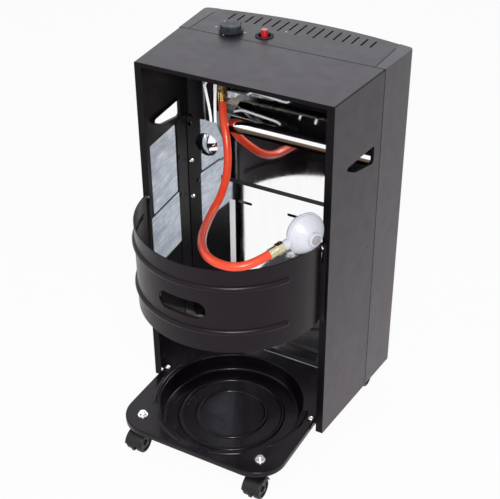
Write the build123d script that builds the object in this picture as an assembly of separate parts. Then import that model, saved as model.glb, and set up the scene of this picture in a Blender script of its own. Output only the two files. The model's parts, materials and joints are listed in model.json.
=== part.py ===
"""Portable gas cabinet heater, seen from its open rear.

Millimetres. +Z is up, the bowed radiant front faces -Y, the open bottle bay faces +Y, and the origin is
on the floor under the middle of the whole heater. Left and right are those of a person who looks at the
rear, so the control knob is on the left, at +X.
"""
import os
from math import atan, atan2, cos, degrees, hypot, pi, radians, sin, sqrt, tan

from build123d import *

# ------------------------------------------------------------------ cabinet
SHEET = 1.0                 # painted steel sheet
BRIGHT_SHEET = 0.8          # bright steel of the inner shields
BEND = 3.0                  # outer radius of a folded edge
SEAM_GAP = 0.4              # gap between the hood, the front casing and the panel
TOP = 730.0
CABINET_BOTTOM = 50.0
PLATE_TOP = 70.0
REAR_WIDTH = 374.0          # hood over its open rear edge
SIDE_TAPER = 0.0808         # each side spreads by this for each millimetre forward
HOOD_DEPTH = 167.5
FRONT_DEPTH = 105.0         # seam to the front corners
BOW = 25.0                  # how far the front bulges beyond its corners
PLATE_REACH = 343.0         # seam to the rear edge of the base plate

SEAM_Y = (FRONT_DEPTH + BOW - PLATE_REACH) / 2
HOOD_REAR = SEAM_Y + HOOD_DEPTH
REAR_HALF = REAR_WIDTH / 2
FRONT_CORNER_Y = SEAM_Y - FRONT_DEPTH
REAR_LIP = 14.0
TOP_LIP = 8.0

# ------------------------------------------------------------------ openings of the cabinet
HAND_HOLE = dict(front=SEAM_Y + 24, rear=SEAM_Y + 130, top=599.0, low_front=564.5, low_mid=578.0,
                 mid=SEAM_Y + 92)
BURNER_OPENING = dict(half=155.0, bottom=410.0, top=650.0, corner=14.0)
PANEL_HALF = REAR_HALF - 6
PANEL_LIP = 25.0
SLOT_COUNT = 17
SLOT_PITCH = 17.6
SLOT_WIDTH = 3.5
SLOT_INSET = 17.0           # front end of each slot behind the bowed edge
SLOT_REAR = {0: 61.5, 1: 75.0, 2: 63.0, 3: 75.0}    # rear end ahead of the seam, by slot from the middle
SLOT_REAR_OUTER = 72.0
FLANGE_OVERLAP = 34.0       # casing flange inside the hood
SIDE_SCREW_Z = (476.0, 393.0)
SIDE_SCREW_Y = SEAM_Y + 26

# ------------------------------------------------------------------ base plate and bottle well
PLATE_SHEET = 1.2
PLATE_RIM = 11.0
PLATE_INSET = 19.0          # inside the cabinet's sides
PLATE_REAR_HALF = REAR_HALF - 19
PLATE_REAR_CORNER = 60.0
PLATE_FRONT_Y = SEAM_Y - 100
WELL_Y = SEAM_Y + 185
WELL_RADIUS = 138.0
WELL_FLOOR_RADIUS = 133.0
WELL_DEPTH = 35.0
WELL_RINGS = (100.0, 67.0)
RING_RISE = 3.0
RING_HALF_WIDTH = 4.5
PLATE_ARC_RADIUS = 147.0
PLATE_ARCS = ((-15, 31), (55, 76), (104, 125), (149, 195))
HOOD_BOLT = (REAR_HALF - 27, SEAM_Y + 162)
CASING_BOLT = (REAR_HALF - 15, SEAM_Y - 40)

# ------------------------------------------------------------------ casters
REAR_CASTER = (REAR_HALF - 60, SEAM_Y + 303)
FRONT_CASTER = (REAR_HALF - 19, SEAM_Y - 75)
CASTER_SPOTS = {"rear_left": REAR_CASTER, "rear_right": (-REAR_CASTER[0], REAR_CASTER[1]),
                "front_left": FRONT_CASTER, "front_right": (-FRONT_CASTER[0], FRONT_CASTER[1])}
WHEEL_RADIUS = 20.0
WHEEL_WIDTH = 13.0
WHEEL_GAP = 8.0             # between the two wheels of a caster
CASTER_TRAIL = 18.0
FENDER_RADIUS = WHEEL_RADIUS + 2.5
STEM_RADIUS = 4.0
AXLE_RADIUS = 3.0
RUNNING_FIT = 0.05

# ------------------------------------------------------------------ gas controls
VALVE = (106.0, SEAM_Y - 22)
VALVE_RADIUS = 17.0
VALVE_BOTTOM = TOP - 40
PLUG_RADIUS = 9.95
PLUG_FIT = 0.05
STEM_D_RADIUS = 4.0
STEM_FLAT = 2.8             # flat of the D stem from its axis
KNOB_RADIUS = 22.5
KNOB_GAP = 3.6              # under the knob, for its push
KNOB_HEIGHT = 12.0
IGNITER = (44.0, SEAM_Y - 32)
IGNITER_CUP = 13.5
BUTTON_RADIUS = 6.5
BUTTON_TOP = TOP + 13
BUTTON_TRAVEL = 6.0
HOSE_DROP_Y = SEAM_Y + 14   # where the inlet turns down behind the valve

# ------------------------------------------------------------------ burner
PLAQUE = dict(width=88.0, height=130.0, thick=13.0, pitch=92.0, bottom=444.0)
REFLECTOR_BACK_Y = SEAM_Y - 61
PLAQUE_FACE_Y = REFLECTOR_BACK_Y + SHEET
PLENUM_BACK_Y = SEAM_Y - 12
PLENUM_TOP = PLAQUE["bottom"] + PLAQUE["height"] - 1
MANIFOLD_Z = 360.0
MANIFOLD_Y = SEAM_Y - 30
VENTURI_BOTTOM = 380.0
SHIELD_Y = SEAM_Y - 7       # front face of the rear heat shield

# ------------------------------------------------------------------ retaining belt
BELT_RADIUS = REAR_HALF - 15
BELT_Y = HOOD_REAR + 0.5
BELT_BOTTOM = 313.0
BELT_TOP = 481.0
BELT_BEADS = (355.0, 444.0)
BEAD_RISE = 4.5
BEAD_HALF_WIDTH = 6.0
BELT_START = 4.0            # azimuth of the hinge end, from +X toward the rear
BELT_END = 178.0
HINGE_Y = HOOD_REAR + 7
HINGE_BARREL = 4.0
HINGE_PIN = 2.0
LATCH_X = 11 - REAR_HALF
LATCH_Z = BELT_TOP - 12

# ------------------------------------------------------------------ hose and regulator
HOSE_RADIUS = 7.5
REGULATOR_AXIS = (-0.874, 0.479, 0.080)
REGULATOR_TAIL = (0.4545, 0.8649, -0.2132)
REGULATOR_RADIUS = 36.0
REGULATOR_CENTRE = (9.1 - BELT_RADIUS, HOOD_REAR + 45.5, BELT_TOP + REGULATOR_RADIUS + 0.8)   # on the belt
TAIL_LENGTH = 73.0
TAIL_STRAIGHT = 36.0        # straight end of the hose's route behind its ferrule
HOSE_POINTS = [(VALVE[0], HOSE_DROP_Y, 612), (VALVE[0], HOSE_DROP_Y, 577), (93, -84, 537), (74, -54, 499),
               (64, -15, 467), (61, 36, 449), (27, 122, 464), (-18, 193, 488.5), (-48, 214.5, 490.5),
               (-83, 217, 490.5)]


# ------------------------------------------------------------------ helpers
def block(x0, x1, y0, y1, z0, z1):
    centre = Pos((x0 + x1) / 2, (y0 + y1) / 2, (z0 + z1) / 2)
    return centre * Box(x1 - x0, y1 - y0, z1 - z0)


def upright(x, y, z0, z1, radius):
    return Pos(x, y, (z0 + z1) / 2) * Cylinder(radius, z1 - z0)


def rod(start, end, radius):
    start, end = Vector(*start), Vector(*end)
    plane = Plane(origin=start, z_dir=end - start)
    return extrude(plane * Circle(radius), (end - start).length)


def prism(face, z0, z1):
    return extrude(Pos(0, 0, z0) * face, z1 - z0, dir=(0, 0, 1))


def mirrored(shape):
    return shape + mirror(shape, Plane.YZ)


def tube(points, radius, bends):
    """A round bar along straight runs joined by tangent arcs."""
    path = FilletPolyline(*points, radius=bends) if len(points) > 2 else Line(*points)
    start = Vector(*points[0])
    plane = Plane(origin=start, z_dir=Vector(*points[1]) - start)
    return sweep(plane * Circle(radius), path=path)


def corner_radii(points):
    """The largest arcs that the runs allow."""
    radii = []
    for before, corner, after in zip(points, points[1:], points[2:]):
        arriving = Vector(*corner) - Vector(*before)
        leaving = Vector(*after) - Vector(*corner)
        half_turn = radians(arriving.get_angle(leaving)) / 2
        radii.append(0.45 * min(arriving.length, leaving.length) / tan(half_turn))
    return radii


def half_width(y):
    return REAR_WIDTH / 2 + (HOOD_REAR - y) * SIDE_TAPER


def tapered_plan(y0, y1, inset):
    """The cabinet's plan between two depths, its sides moved inward."""
    near, far = half_width(y0) - inset, half_width(y1) - inset
    return make_face(Polyline((-near, y0), (near, y0), (far, y1), (-far, y1), close=True))


FRONT_HALF = REAR_WIDTH / 2 + (HOOD_REAR - FRONT_CORNER_Y) * SIDE_TAPER
BOW_RADIUS = (FRONT_HALF ** 2 + BOW ** 2) / (2 * BOW)
BOW_CENTRE_Y = FRONT_CORNER_Y - BOW + BOW_RADIUS


def bow_y(x, inset=0.0):
    return BOW_CENTRE_Y - sqrt((BOW_RADIUS - inset) ** 2 - x * x)


def bow_corner(inset):
    y = FRONT_CORNER_Y
    for _ in range(6):
        y = bow_y(half_width(y) - inset, inset)
    return half_width(y) - inset, y


def front_plan(inset, rear_y):
    x, y = bow_corner(inset)
    rear = half_width(rear_y) - inset
    sides = Polyline((-x, y), (-rear, rear_y), (rear, rear_y), (x, y))
    return make_face(sides + ThreePointArc((x, y), (0, bow_y(0, inset)), (-x, y)))


def side_edges_on_top(shape):
    """The two top edges that run along the cabinet's sides."""
    top_edges = shape.edges().group_by(Axis.Z)[-1]
    return [e for e in top_edges if abs((e @ 1 - e @ 0).Y) > abs((e @ 1 - e @ 0).X)]


def side_frame(y, z, inset, side=1):
    """Plane on a cabinet side whose Z points out of the cabinet."""
    tilt = atan(SIDE_TAPER)
    return Plane(origin=(side * (half_width(y) - inset), y, z), x_dir=(0, 0, 1),
                 z_dir=(side * cos(tilt), sin(tilt), 0))


def pressed_bead(rise, half_width_):
    """Radius of a bead's outer arc and the depth of its centre under the sheet's outer face."""
    radius = (half_width_ ** 2 + rise ** 2) / (2 * rise)
    return radius, radius - rise


def ring_arc(plan_radius, z, section_radius, start, end):
    """Part of a torus about Z with round ends."""
    arc = revolve(Plane.XZ * Pos(plan_radius, z) * Circle(section_radius), Axis.Z, end - start)
    arc = Rot(0, 0, start) * arc
    for azimuth in (start, end):
        x, y = plan_radius * cos(radians(azimuth)), plan_radius * sin(radians(azimuth))
        arc = arc + Pos(x, y, z) * Sphere(section_radius)
    return arc


def hex_nut(radius_flats, height):
    nut = extrude(RegularPolygon(radius_flats, 6, major_radius=False), height)
    cone = Pos(0, 0, height / 2) * Cylinder(radius_flats * 1.12, height)
    cone = chamfer(cone.edges().filter_by(GeomType.CIRCLE), min(height / 5, radius_flats * 0.11))
    return nut & cone


def pan_head(radius, height):
    head = extrude(Circle(radius), height)
    head = fillet(head.edges().group_by(Axis.Z)[-1], height * 0.6)
    slot_depth = height * 0.45
    cross = Box(radius * 1.1, radius * 0.24, slot_depth * 2) + Box(radius * 0.24, radius * 1.1,
                                                                    slot_depth * 2)
    return head - Pos(0, 0, height) * cross


# ------------------------------------------------------------------ hood
def hand_hole_face(grow=0.0):
    h = HAND_HOLE
    line = Polyline((h["front"], h["top"]), (h["front"], h["low_front"]), (h["mid"], h["low_mid"]),
                    (h["rear"], h["top"]), close=True)
    face = make_face(line)
    corners = face.vertices().sort_by(Axis.X)
    face = fillet([corners[0], corners[1]], 6)
    far = [v for v in face.vertices() if abs(v.X - h["rear"]) < 0.01]
    mid = [v for v in face.vertices() if abs(v.X - h["mid"]) < 0.01]
    face = fillet(far, 4)
    mid = [v for v in face.vertices() if abs(v.X - h["mid"]) < 0.01]
    face = fillet(mid, 30)
    return offset(face, grow) if grow else face


def hand_hole(grow=0.0):
    return extrude(Plane.YZ.offset(150) * hand_hole_face(grow), 80)


def hood():
    front = SEAM_Y + SEAM_GAP / 2
    outer = prism(tapered_plan(front, HOOD_REAR, 0), CABINET_BOTTOM, TOP)
    outer = fillet(side_edges_on_top(outer), BEND)
    inner = prism(tapered_plan(front - 5, HOOD_REAR + 5, SHEET), CABINET_BOTTOM - 5, TOP - SHEET)
    inner = fillet(side_edges_on_top(inner), BEND - SHEET)
    shell = outer - inner
    opening_half = REAR_WIDTH / 2 - REAR_LIP
    rear_slice = outer & block(-300, 300, HOOD_REAR - SHEET, HOOD_REAR + 1, 0, TOP + 1)
    opening = block(-opening_half, opening_half, 0, HOOD_REAR + 2, 0, TOP - TOP_LIP)
    shell += rear_slice - opening
    hole_rim = mirrored(hand_hole(1.0)) & outer
    hole_rim -= prism(tapered_plan(front - 5, HOOD_REAR + 5, 6), 0, TOP)
    shell = shell + hole_rim - mirrored(hand_hole())
    foot = block(HOOD_BOLT[0] - 6, half_width(HOOD_REAR) - 0.5, HOOD_REAR - 15, HOOD_REAR,
                 PLATE_TOP, PLATE_TOP + SHEET)
    foot -= upright(*HOOD_BOLT, PLATE_TOP - 1, PLATE_TOP + 2, 3.3)
    shell += mirrored(foot)
    for z in SIDE_SCREW_Z:
        hole = extrude(side_frame(SIDE_SCREW_Y, z, 1.5) * Circle(2.3), 3)
        shell -= mirrored(hole)
    return shell


# ------------------------------------------------------------------ front casing and control panel
def casing_louvres():
    slots = None
    for row in range(4):
        for column in (-1, 0, 1):
            slot = SlotOverall(70, 5)
            cut = extrude(Plane.XZ.offset(-FRONT_CORNER_Y - 20) * Pos(column * 95, 105 + row * 14) * slot, 60)
            slots = cut if slots is None else slots + cut
    return slots


def overlap_flange():
    """The strip of the casing that lies inside the hood, held by the side screws."""
    clear = SHEET + 0.2
    low, high = PLATE_TOP + 1, 555.0
    inside = tapered_plan(SEAM_Y - 12, SEAM_Y + FLANGE_OVERLAP, clear)
    strip = prism(inside, low, high)
    strip -= prism(tapered_plan(SEAM_Y - 20, SEAM_Y + 50, clear + SHEET), low - 1, high + 1)
    lap = prism(tapered_plan(SEAM_Y - 12, SEAM_Y - SEAM_GAP / 2, SHEET - 0.1), low, high)
    lap -= prism(tapered_plan(SEAM_Y - 20, SEAM_Y + 5, clear + 0.1), low - 1, high + 1)
    strip += lap
    for z in SIDE_SCREW_Z:
        strip -= mirrored(extrude(side_frame(SIDE_SCREW_Y, z, 3.5) * Circle(2.3), 5))
    return strip


def shield_flange():
    """The inward return of each cheek that carries the rear heat shield."""
    y0, y1 = SHIELD_Y - SHEET, SHIELD_Y
    flange = prism(tapered_plan(y0, y1, SHEET - 0.1), PLATE_TOP + 1, 555)
    flange -= block(1 - REAR_HALF, REAR_HALF - 1, y0 - 1, y1 + 1, 0, TOP)
    for x, z in SHIELD_SCREWS:
        flange -= rod((x, y0 - 1, z), (x, y1 + 1, z), 2.3)
    return flange


SHIELD_SCREWS = [(side * (REAR_HALF + 4), z) for heights in ((455.0, 375.0), (535.0,))
                 for side in (1, -1) for z in heights]


def panel_ledges():
    x, low = PANEL_HALF + 3, TOP - 11
    ledge = block(x - 12, x, -200, -112, low, low + 1) + block(x - 1, x, -200, -112, low, TOP - SHEET + 0.2)
    return mirrored(ledge)


def casing_feet():
    foot = block(CASING_BOLT[0] - 12, half_width(CASING_BOLT[1]) - 0.5,
                 CASING_BOLT[1] - 10, CASING_BOLT[1] + 10, PLATE_TOP, PLATE_TOP + SHEET)
    foot -= upright(*CASING_BOLT, PLATE_TOP - 1, PLATE_TOP + 2, 3.3)
    return mirrored(foot)


def front_casing():
    rear = SEAM_Y - SEAM_GAP / 2
    corner = 10.0
    outer = prism(front_plan(0, rear), CABINET_BOTTOM, TOP)
    outer = fillet(outer.edges().filter_by(Axis.Z).sort_by(Axis.Y)[:2], corner)
    inner = prism(front_plan(SHEET, rear + 5), CABINET_BOTTOM - 5, TOP - SHEET)
    inner = fillet(inner.edges().filter_by(Axis.Z).sort_by(Axis.Y)[:2], corner - SHEET)
    shell = outer - inner
    sides = [e for e in shell.edges().group_by(Axis.Z)[-1]
             if abs((e @ 1 - e @ 0).Y) > 60 and abs((e @ 0).X) > 150]
    shell = fillet(sides, SHEET * 0.8)
    window = PANEL_HALF + SEAM_GAP / 2
    shell -= block(-window, window, -260, SEAM_Y + 1, TOP - PANEL_LIP - SEAM_GAP / 2, TOP + 1)
    b = BURNER_OPENING
    face = RectangleRounded(2 * b["half"], b["top"] - b["bottom"], b["corner"])
    height = (b["top"] + b["bottom"]) / 2
    shell -= extrude(Plane.XZ.offset(-FRONT_CORNER_Y - 15) * Pos(0, height) * face, 60)
    shell -= casing_louvres()
    return shell + overlap_flange() + shield_flange() + panel_ledges() + casing_feet()


def slot_rear(index):
    return SEAM_Y - SLOT_REAR.get(abs(index), SLOT_REAR_OUTER)


def control_panel():
    rear = SEAM_Y - SEAM_GAP / 2
    low = TOP - PANEL_LIP
    width = block(-PANEL_HALF, PANEL_HALF, -260, rear, low, TOP)
    outer = prism(front_plan(0, rear), low, TOP) & width
    front_edge = [e for e in outer.edges().group_by(Axis.Z)[-1] if e.geom_type == GeomType.CIRCLE]
    outer = fillet(front_edge, BEND)
    inner = prism(front_plan(SHEET, rear - SHEET), low - 1, TOP - SHEET)
    inner &= block(-PANEL_HALF + SHEET, PANEL_HALF - SHEET, -260, rear - SHEET, low - 1, TOP)
    inner_edge = [e for e in inner.edges().group_by(Axis.Z)[-1] if e.geom_type == GeomType.CIRCLE]
    inner = fillet(inner_edge, BEND - SHEET)
    shell = outer - inner
    # the side and rear lips are shorter than the front one
    shell -= block(-PANEL_HALF - 1, PANEL_HALF + 1, -205, SEAM_Y, low - 1, TOP - 10)
    for index in range(-(SLOT_COUNT // 2), SLOT_COUNT // 2 + 1):
        x = index * SLOT_PITCH
        front, back = bow_y(x) + SLOT_INSET, slot_rear(index)
        slot = Pos(x, (front + back) / 2) * Rot(0, 0, 90) * SlotOverall(back - front, SLOT_WIDTH)
        shell -= prism(slot, TOP - 5, TOP + 1)
    shell -= upright(*VALVE, TOP - 5, TOP + 1, 6.5)
    shell -= upright(*IGNITER, TOP - 5, TOP + 1, IGNITER_CUP + 0.3)
    return shell


# ------------------------------------------------------------------ base plate
def plate_outline(inset=0.0):
    front_half = half_width(PLATE_FRONT_Y) - PLATE_INSET
    points = [(-front_half, PLATE_FRONT_Y), (front_half, PLATE_FRONT_Y),
              (PLATE_REAR_HALF, HOOD_REAR - 2.5), (PLATE_REAR_HALF, PLATE_REACH + SEAM_Y),
              (-PLATE_REAR_HALF, PLATE_REACH + SEAM_Y), (-PLATE_REAR_HALF, HOOD_REAR - 2.5)]
    face = make_face(Polyline(*points, close=True))
    rear = face.vertices().sort_by(Axis.Y)[-2:]
    face = fillet(rear, PLATE_REAR_CORNER)
    front = face.vertices().sort_by(Axis.Y)[:2]
    face = fillet(front, 8)
    return offset(face, -inset) if inset else face


def well_section():
    """Half section of the well's hollow, from its axis to its wall."""
    floor = PLATE_TOP - WELL_DEPTH
    face = make_face(Polyline((0, floor), (WELL_FLOOR_RADIUS, floor), (WELL_RADIUS, PLATE_TOP),
                              (0, PLATE_TOP), close=True))
    corner = [v for v in face.vertices() if v.Y < floor + 1 and v.X > 1]
    return fillet(corner, 5.5)


def well_rings():
    """Concentric pressed rings of the well's floor: the raised solid and its hollow."""
    radius, drop = pressed_bead(RING_RISE, RING_HALF_WIDTH)
    z = PLATE_TOP - WELL_DEPTH - drop
    raised, hollow = None, None
    for ring in WELL_RINGS:
        outer, inner = Torus(ring, radius), Torus(ring, radius - PLATE_SHEET)
        raised = outer if raised is None else raised + outer
        hollow = inner if hollow is None else hollow + inner
    return Pos(0, WELL_Y, z) * raised, Pos(0, WELL_Y, z) * hollow


def base_plate():
    plate = prism(plate_outline(), PLATE_TOP - PLATE_RIM, PLATE_TOP)
    plate = fillet(plate.edges().group_by(Axis.Z)[-1], 3)
    hollow = prism(plate_outline(PLATE_SHEET), PLATE_TOP - PLATE_RIM - 1, PLATE_TOP - PLATE_SHEET)
    plate -= fillet(hollow.edges().group_by(Axis.Z)[-1], 1.8)
    void = revolve(Plane.XZ * well_section(), Axis.Z)
    grown = offset(well_section(), PLATE_SHEET)
    grown &= make_face(Polyline((0, 0), (200, 0), (200, PLATE_TOP - 0.2), (0, PLATE_TOP - 0.2), close=True))
    cup = revolve(Plane.XZ * grown, Axis.Z)
    plate = plate + Pos(0, WELL_Y, 0) * cup - Pos(0, WELL_Y, 0) * void
    raised, hollow_rings = well_rings()
    floor = PLATE_TOP - WELL_DEPTH
    plate = plate + (raised & block(-140, 140, WELL_Y - 140, WELL_Y + 140, floor - PLATE_SHEET, floor + 9))
    plate -= hollow_rings
    rim = [e for e in plate.edges().filter_by(GeomType.CIRCLE)
           if abs(e.radius - WELL_RADIUS) < 0.01 and abs((e @ 0).Z - PLATE_TOP) < 0.01]
    plate = fillet(rim, 3.0)
    radius, drop = pressed_bead(RING_RISE, RING_HALF_WIDTH)
    above = block(-200, 200, -300, 300, PLATE_TOP - PLATE_SHEET, PLATE_TOP + 9)
    for start, end in PLATE_ARCS:
        solid = ring_arc(PLATE_ARC_RADIUS, PLATE_TOP - drop, radius, start, end)
        void = ring_arc(PLATE_ARC_RADIUS, PLATE_TOP - drop, radius - PLATE_SHEET, start, end)
        plate = plate + (Pos(0, WELL_Y, 0) * solid & above) - Pos(0, WELL_Y, 0) * void
    for x, y in CASTER_SPOTS.values():
        plate -= upright(x, y, 40, 80, STEM_RADIUS + 0.3)
    for x, y in (HOOD_BOLT, CASING_BOLT):
        plate -= mirrored(upright(x, y, 60, 80, 3.3))
    return plate


def plate_bolts():
    bolts = []
    for x, y in (HOOD_BOLT, CASING_BOLT):
        for side in (1, -1):
            at = Pos(side * x, y, PLATE_TOP + SHEET)
            bolt = at * (pan_head(5.5, 3.0) + Pos(0, 0, -5) * Cylinder(3.0, 10.5))
            bolt += at * Pos(0, 0, -SHEET - PLATE_SHEET - 5) * hex_nut(5.0, 5.0)
            bolts.append(bolt)
    return Compound(children=bolts)


# ------------------------------------------------------------------ casters
AXLE_Z = WHEEL_RADIUS
BOSS_TOP = PLATE_TOP - 4
STEM_BOTTOM = AXLE_Z + WHEEL_RADIUS + 7


def caster_hood():
    """Fender over the twin wheels, centre web and swivel boss; its swivel axis is local Z."""
    trail = CASTER_TRAIL
    width = 2 * WHEEL_WIDTH + WHEEL_GAP + 2
    along_x = Plane.YZ.offset(-width / 2)
    arch = extrude(along_x * Pos(trail, AXLE_Z) * Circle(FENDER_RADIUS + 1.5), width)
    arch = fillet(arch.edges().filter_by(GeomType.CIRCLE), 2.5)
    arch -= extrude(along_x.offset(-1) * Pos(trail, AXLE_Z) * Circle(FENDER_RADIUS), width + 2)
    arch -= block(-30, 30, -60, 60, -10, AXLE_Z + 4)
    web_half = WHEEL_GAP / 2 - 1
    web_plane = Plane.YZ.offset(-web_half)
    web = extrude(web_plane * Pos(trail, AXLE_Z) * Circle(FENDER_RADIUS + 0.7), 2 * web_half)
    web -= block(-30, 30, -60, 60, -10, AXLE_Z - 9)
    web += block(-web_half, web_half, -8, trail, AXLE_Z + 2, STEM_BOTTOM + 1)
    boss = upright(0, 0, STEM_BOTTOM - 2.5, BOSS_TOP, 9)
    neck = extrude(Pos(0, 0, STEM_BOTTOM + 5) * Circle(9.5), -14, taper=-12)
    hood_solid = arch + web + boss + neck
    hood_solid -= extrude(Plane.YZ.offset(-20) * Pos(trail, AXLE_Z) * Circle(AXLE_RADIUS), 40)
    wheel_space = extrude(Plane.YZ.offset(web_half) * Pos(trail, AXLE_Z) * Circle(WHEEL_RADIUS + 1.2), width)
    hood_solid -= mirrored(wheel_space)
    return hood_solid - upright(0, 0, STEM_BOTTOM - 1, BOSS_TOP + 1, STEM_RADIUS + RUNNING_FIT)


def caster_wheels():
    wheels = []
    for side in (1, -1):
        inner_x = side * WHEEL_GAP / 2
        wheel = extrude(Plane.YZ * Circle(WHEEL_RADIUS), WHEEL_WIDTH)
        wheel = fillet(wheel.edges().filter_by(GeomType.CIRCLE), 2.5)
        wheel -= Pos(WHEEL_WIDTH - 2, 0, 0) * extrude(Plane.YZ * (Circle(15) - Circle(6)), 5)
        wheel -= extrude(Plane.YZ.offset(-1) * Circle(AXLE_RADIUS + RUNNING_FIT), WHEEL_WIDTH + 2)
        if side < 0:
            wheel = mirror(wheel, Plane.YZ)
        wheels.append(Pos(inner_x, CASTER_TRAIL, AXLE_Z) * wheel)
    return Compound(children=wheels)


def caster_axle():
    length = 2 * WHEEL_WIDTH + WHEEL_GAP + 1
    pin = extrude(Plane.YZ.offset(-length / 2) * Circle(AXLE_RADIUS), length)
    head = Pos(length / 2, 0, 0) * extrude(Plane.YZ * Circle(4.5), 1.5)
    heads = head + mirror(head, Plane.YZ)
    return Pos(0, CASTER_TRAIL, AXLE_Z) * (pin + heads)


def at_caster(name, shape):
    x, y = CASTER_SPOTS[name]
    return Pos(x, y, 0) * shape


def caster_stems():
    """Swivel stems: pin in the boss, collar under the plate, thread above it."""
    stem = upright(0, 0, STEM_BOTTOM, PLATE_TOP + 8, STEM_RADIUS)
    stem = chamfer(stem.edges().group_by(Axis.Z)[-1], 0.8)
    stem += upright(0, 0, BOSS_TOP + 0.1, PLATE_TOP - PLATE_SHEET, 9)
    return Compound(children=[at_caster(name, stem) for name in CASTER_SPOTS])


def caster_nuts():
    washer = upright(0, 0, PLATE_TOP, PLATE_TOP + 1.2, 9.5)
    nut = washer + Pos(0, 0, PLATE_TOP + 1.2) * hex_nut(6.5, 5.5)
    nut -= upright(0, 0, PLATE_TOP - 1, PLATE_TOP + 9, STEM_RADIUS + 0.2)
    return Compound(children=[at_caster(name, nut) for name in CASTER_SPOTS])


# ------------------------------------------------------------------ bright shields
EAR = dict(inner=117.0, outer=REAR_HALF + 10.5, top=550.0, cut_x=134.0, cut_z=514.0)
SHIELD_TOP = 438.0
COVER = dict(left=-REAR_HALF - 9.5, right=100.0, bottom=450.0, face_y=SEAM_Y + 8, bend=26.0, top_z=578.0,
             front_z=588.0, front_y=SEAM_Y - 40)


def rear_heat_shield():
    e = EAR
    outline = Polyline((-e["outer"], PLATE_TOP), (e["outer"], PLATE_TOP), (e["outer"], e["top"]),
                       (e["cut_x"], e["top"]), (e["inner"], e["cut_z"]), (e["inner"], SHIELD_TOP),
                       (-e["outer"], SHIELD_TOP), close=True)
    sheet = extrude(Plane.XZ.offset(-SHIELD_Y) * make_face(outline), -BRIGHT_SHEET)
    half = e["outer"]
    sheet += block(-half, half, SHIELD_Y, SHIELD_Y + 15, PLATE_TOP, PLATE_TOP + BRIGHT_SHEET)
    bend = [edge for edge in sheet.edges().filter_by(Axis.X)
            if abs(edge.center().Z - PLATE_TOP) < 0.01 and abs(edge.center().Y - SHIELD_Y) < 0.01]
    sheet = fillet(bend, 0.7)
    sheet -= rod((155, SHIELD_Y - 2, 501), (155, SHIELD_Y + 3, 501), 21)
    for x0, x1 in ((57, 88), (-52, -19)):
        slot = extrude(Plane.XZ.offset(-SHIELD_Y + 2) * Pos((x0 + x1) / 2, 393) * SlotOverall(x1 - x0, 6), -6)
        sheet -= slot
    for x, z in SHIELD_SCREWS:
        if x > 0 or z < SHIELD_TOP:
            sheet -= rod((x, SHIELD_Y - 2, z), (x, SHIELD_Y + 3, z), 2.3)
    return sheet


def cover_section(thick):
    """Side section of the burner cover: upright face, bend, then a nearly level top."""
    c = COVER
    y, b, t = c["face_y"], c["bend"], thick
    slope = (c["front_z"] - c["top_z"]) / (y - b - c["front_y"])
    corner_z = c["top_z"] - slope * b
    outer = make_face(Polyline((y, c["bottom"]), (y, corner_z), (c["front_y"], c["front_z"]),
                               (c["front_y"], c["front_z"] - t), (y - t, corner_z - t), (y - t, c["bottom"]),
                               close=True))
    far = [v for v in outer.vertices() if abs(v.X - y) < 0.01 and v.Y > c["bottom"] + 10]
    outer = fillet(far, b)
    near = [v for v in outer.vertices() if abs(v.X - y + t) < 0.01 and v.Y > c["bottom"] + 10]
    return fillet(near, b - t), corner_z


def cover_cap(corner_z, inner_edge):
    """End cap of the burner cover: its outline follows the cover above and inner_edge below."""
    c = COVER
    top = [(c["face_y"], c["bottom"]), (c["face_y"], corner_z), (c["front_y"], c["front_z"]),
           (c["front_y"], PLENUM_TOP + 3)]
    face = make_face(Polyline(*top, *inner_edge, close=True))
    far = [v for v in face.vertices() if abs(v.X - c["face_y"]) < 0.01 and v.Y > c["bottom"] + 10]
    return extrude(Plane.YZ * fillet(far, c["bend"]), BRIGHT_SHEET)


def burner_rear_cover():
    """Bright hood over the back of the burner, closed by an end cap at each side."""
    c = COVER
    section, corner_z = cover_section(BRIGHT_SHEET)
    sheet = extrude(Plane.YZ.offset(c["left"]) * section, c["right"] - c["left"])
    low, back = PLENUM_TOP + 1, SHIELD_Y + BRIGHT_SHEET
    beside_plenum = [(PLENUM_BACK_Y - 3, low), (PLENUM_BACK_Y + 1.5, low), (PLENUM_BACK_Y + 1.5, c["bottom"])]
    beside_flange = [(PLENUM_BACK_Y - 3, low), (PLENUM_BACK_Y - 3, 560), (back, 560), (back, c["bottom"])]
    sheet += Pos(c["left"], 0, 0) * cover_cap(corner_z, beside_flange)
    sheet += Pos(c["right"] - BRIGHT_SHEET, 0, 0) * cover_cap(corner_z, beside_plenum)
    return sheet + block(c["right"] - 1, 125, back, back + BRIGHT_SHEET, 460, 505)


def shield_screws():
    screws = []
    for x, z in SHIELD_SCREWS:
        if x < 0 and z > SHIELD_TOP:
            continue
        plane = Plane(origin=(x, SHIELD_Y + BRIGHT_SHEET, z), z_dir=(0, 1, 0))
        screw = pan_head(4.2, 2.6) + Pos(0, 0, -3.5) * Cylinder(2.0, 7.2)
        screws.append(plane.location * screw)
    return Compound(children=screws)


def side_screws():
    screws = []
    for side in (1, -1):
        for z in SIDE_SCREW_Z:
            plane = side_frame(SIDE_SCREW_Y, z, 2 * SHEET + 0.2, side)
            head = mirror(pan_head(4.2, 2.6), Plane.XY)
            shank = extrude(Circle(2.0), 2.4)
            screws.append(plane.location * (head + shank + Pos(0, 0, -0.2) * extrude(Circle(2.0), 0.4)))
    return Compound(children=screws)


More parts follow.
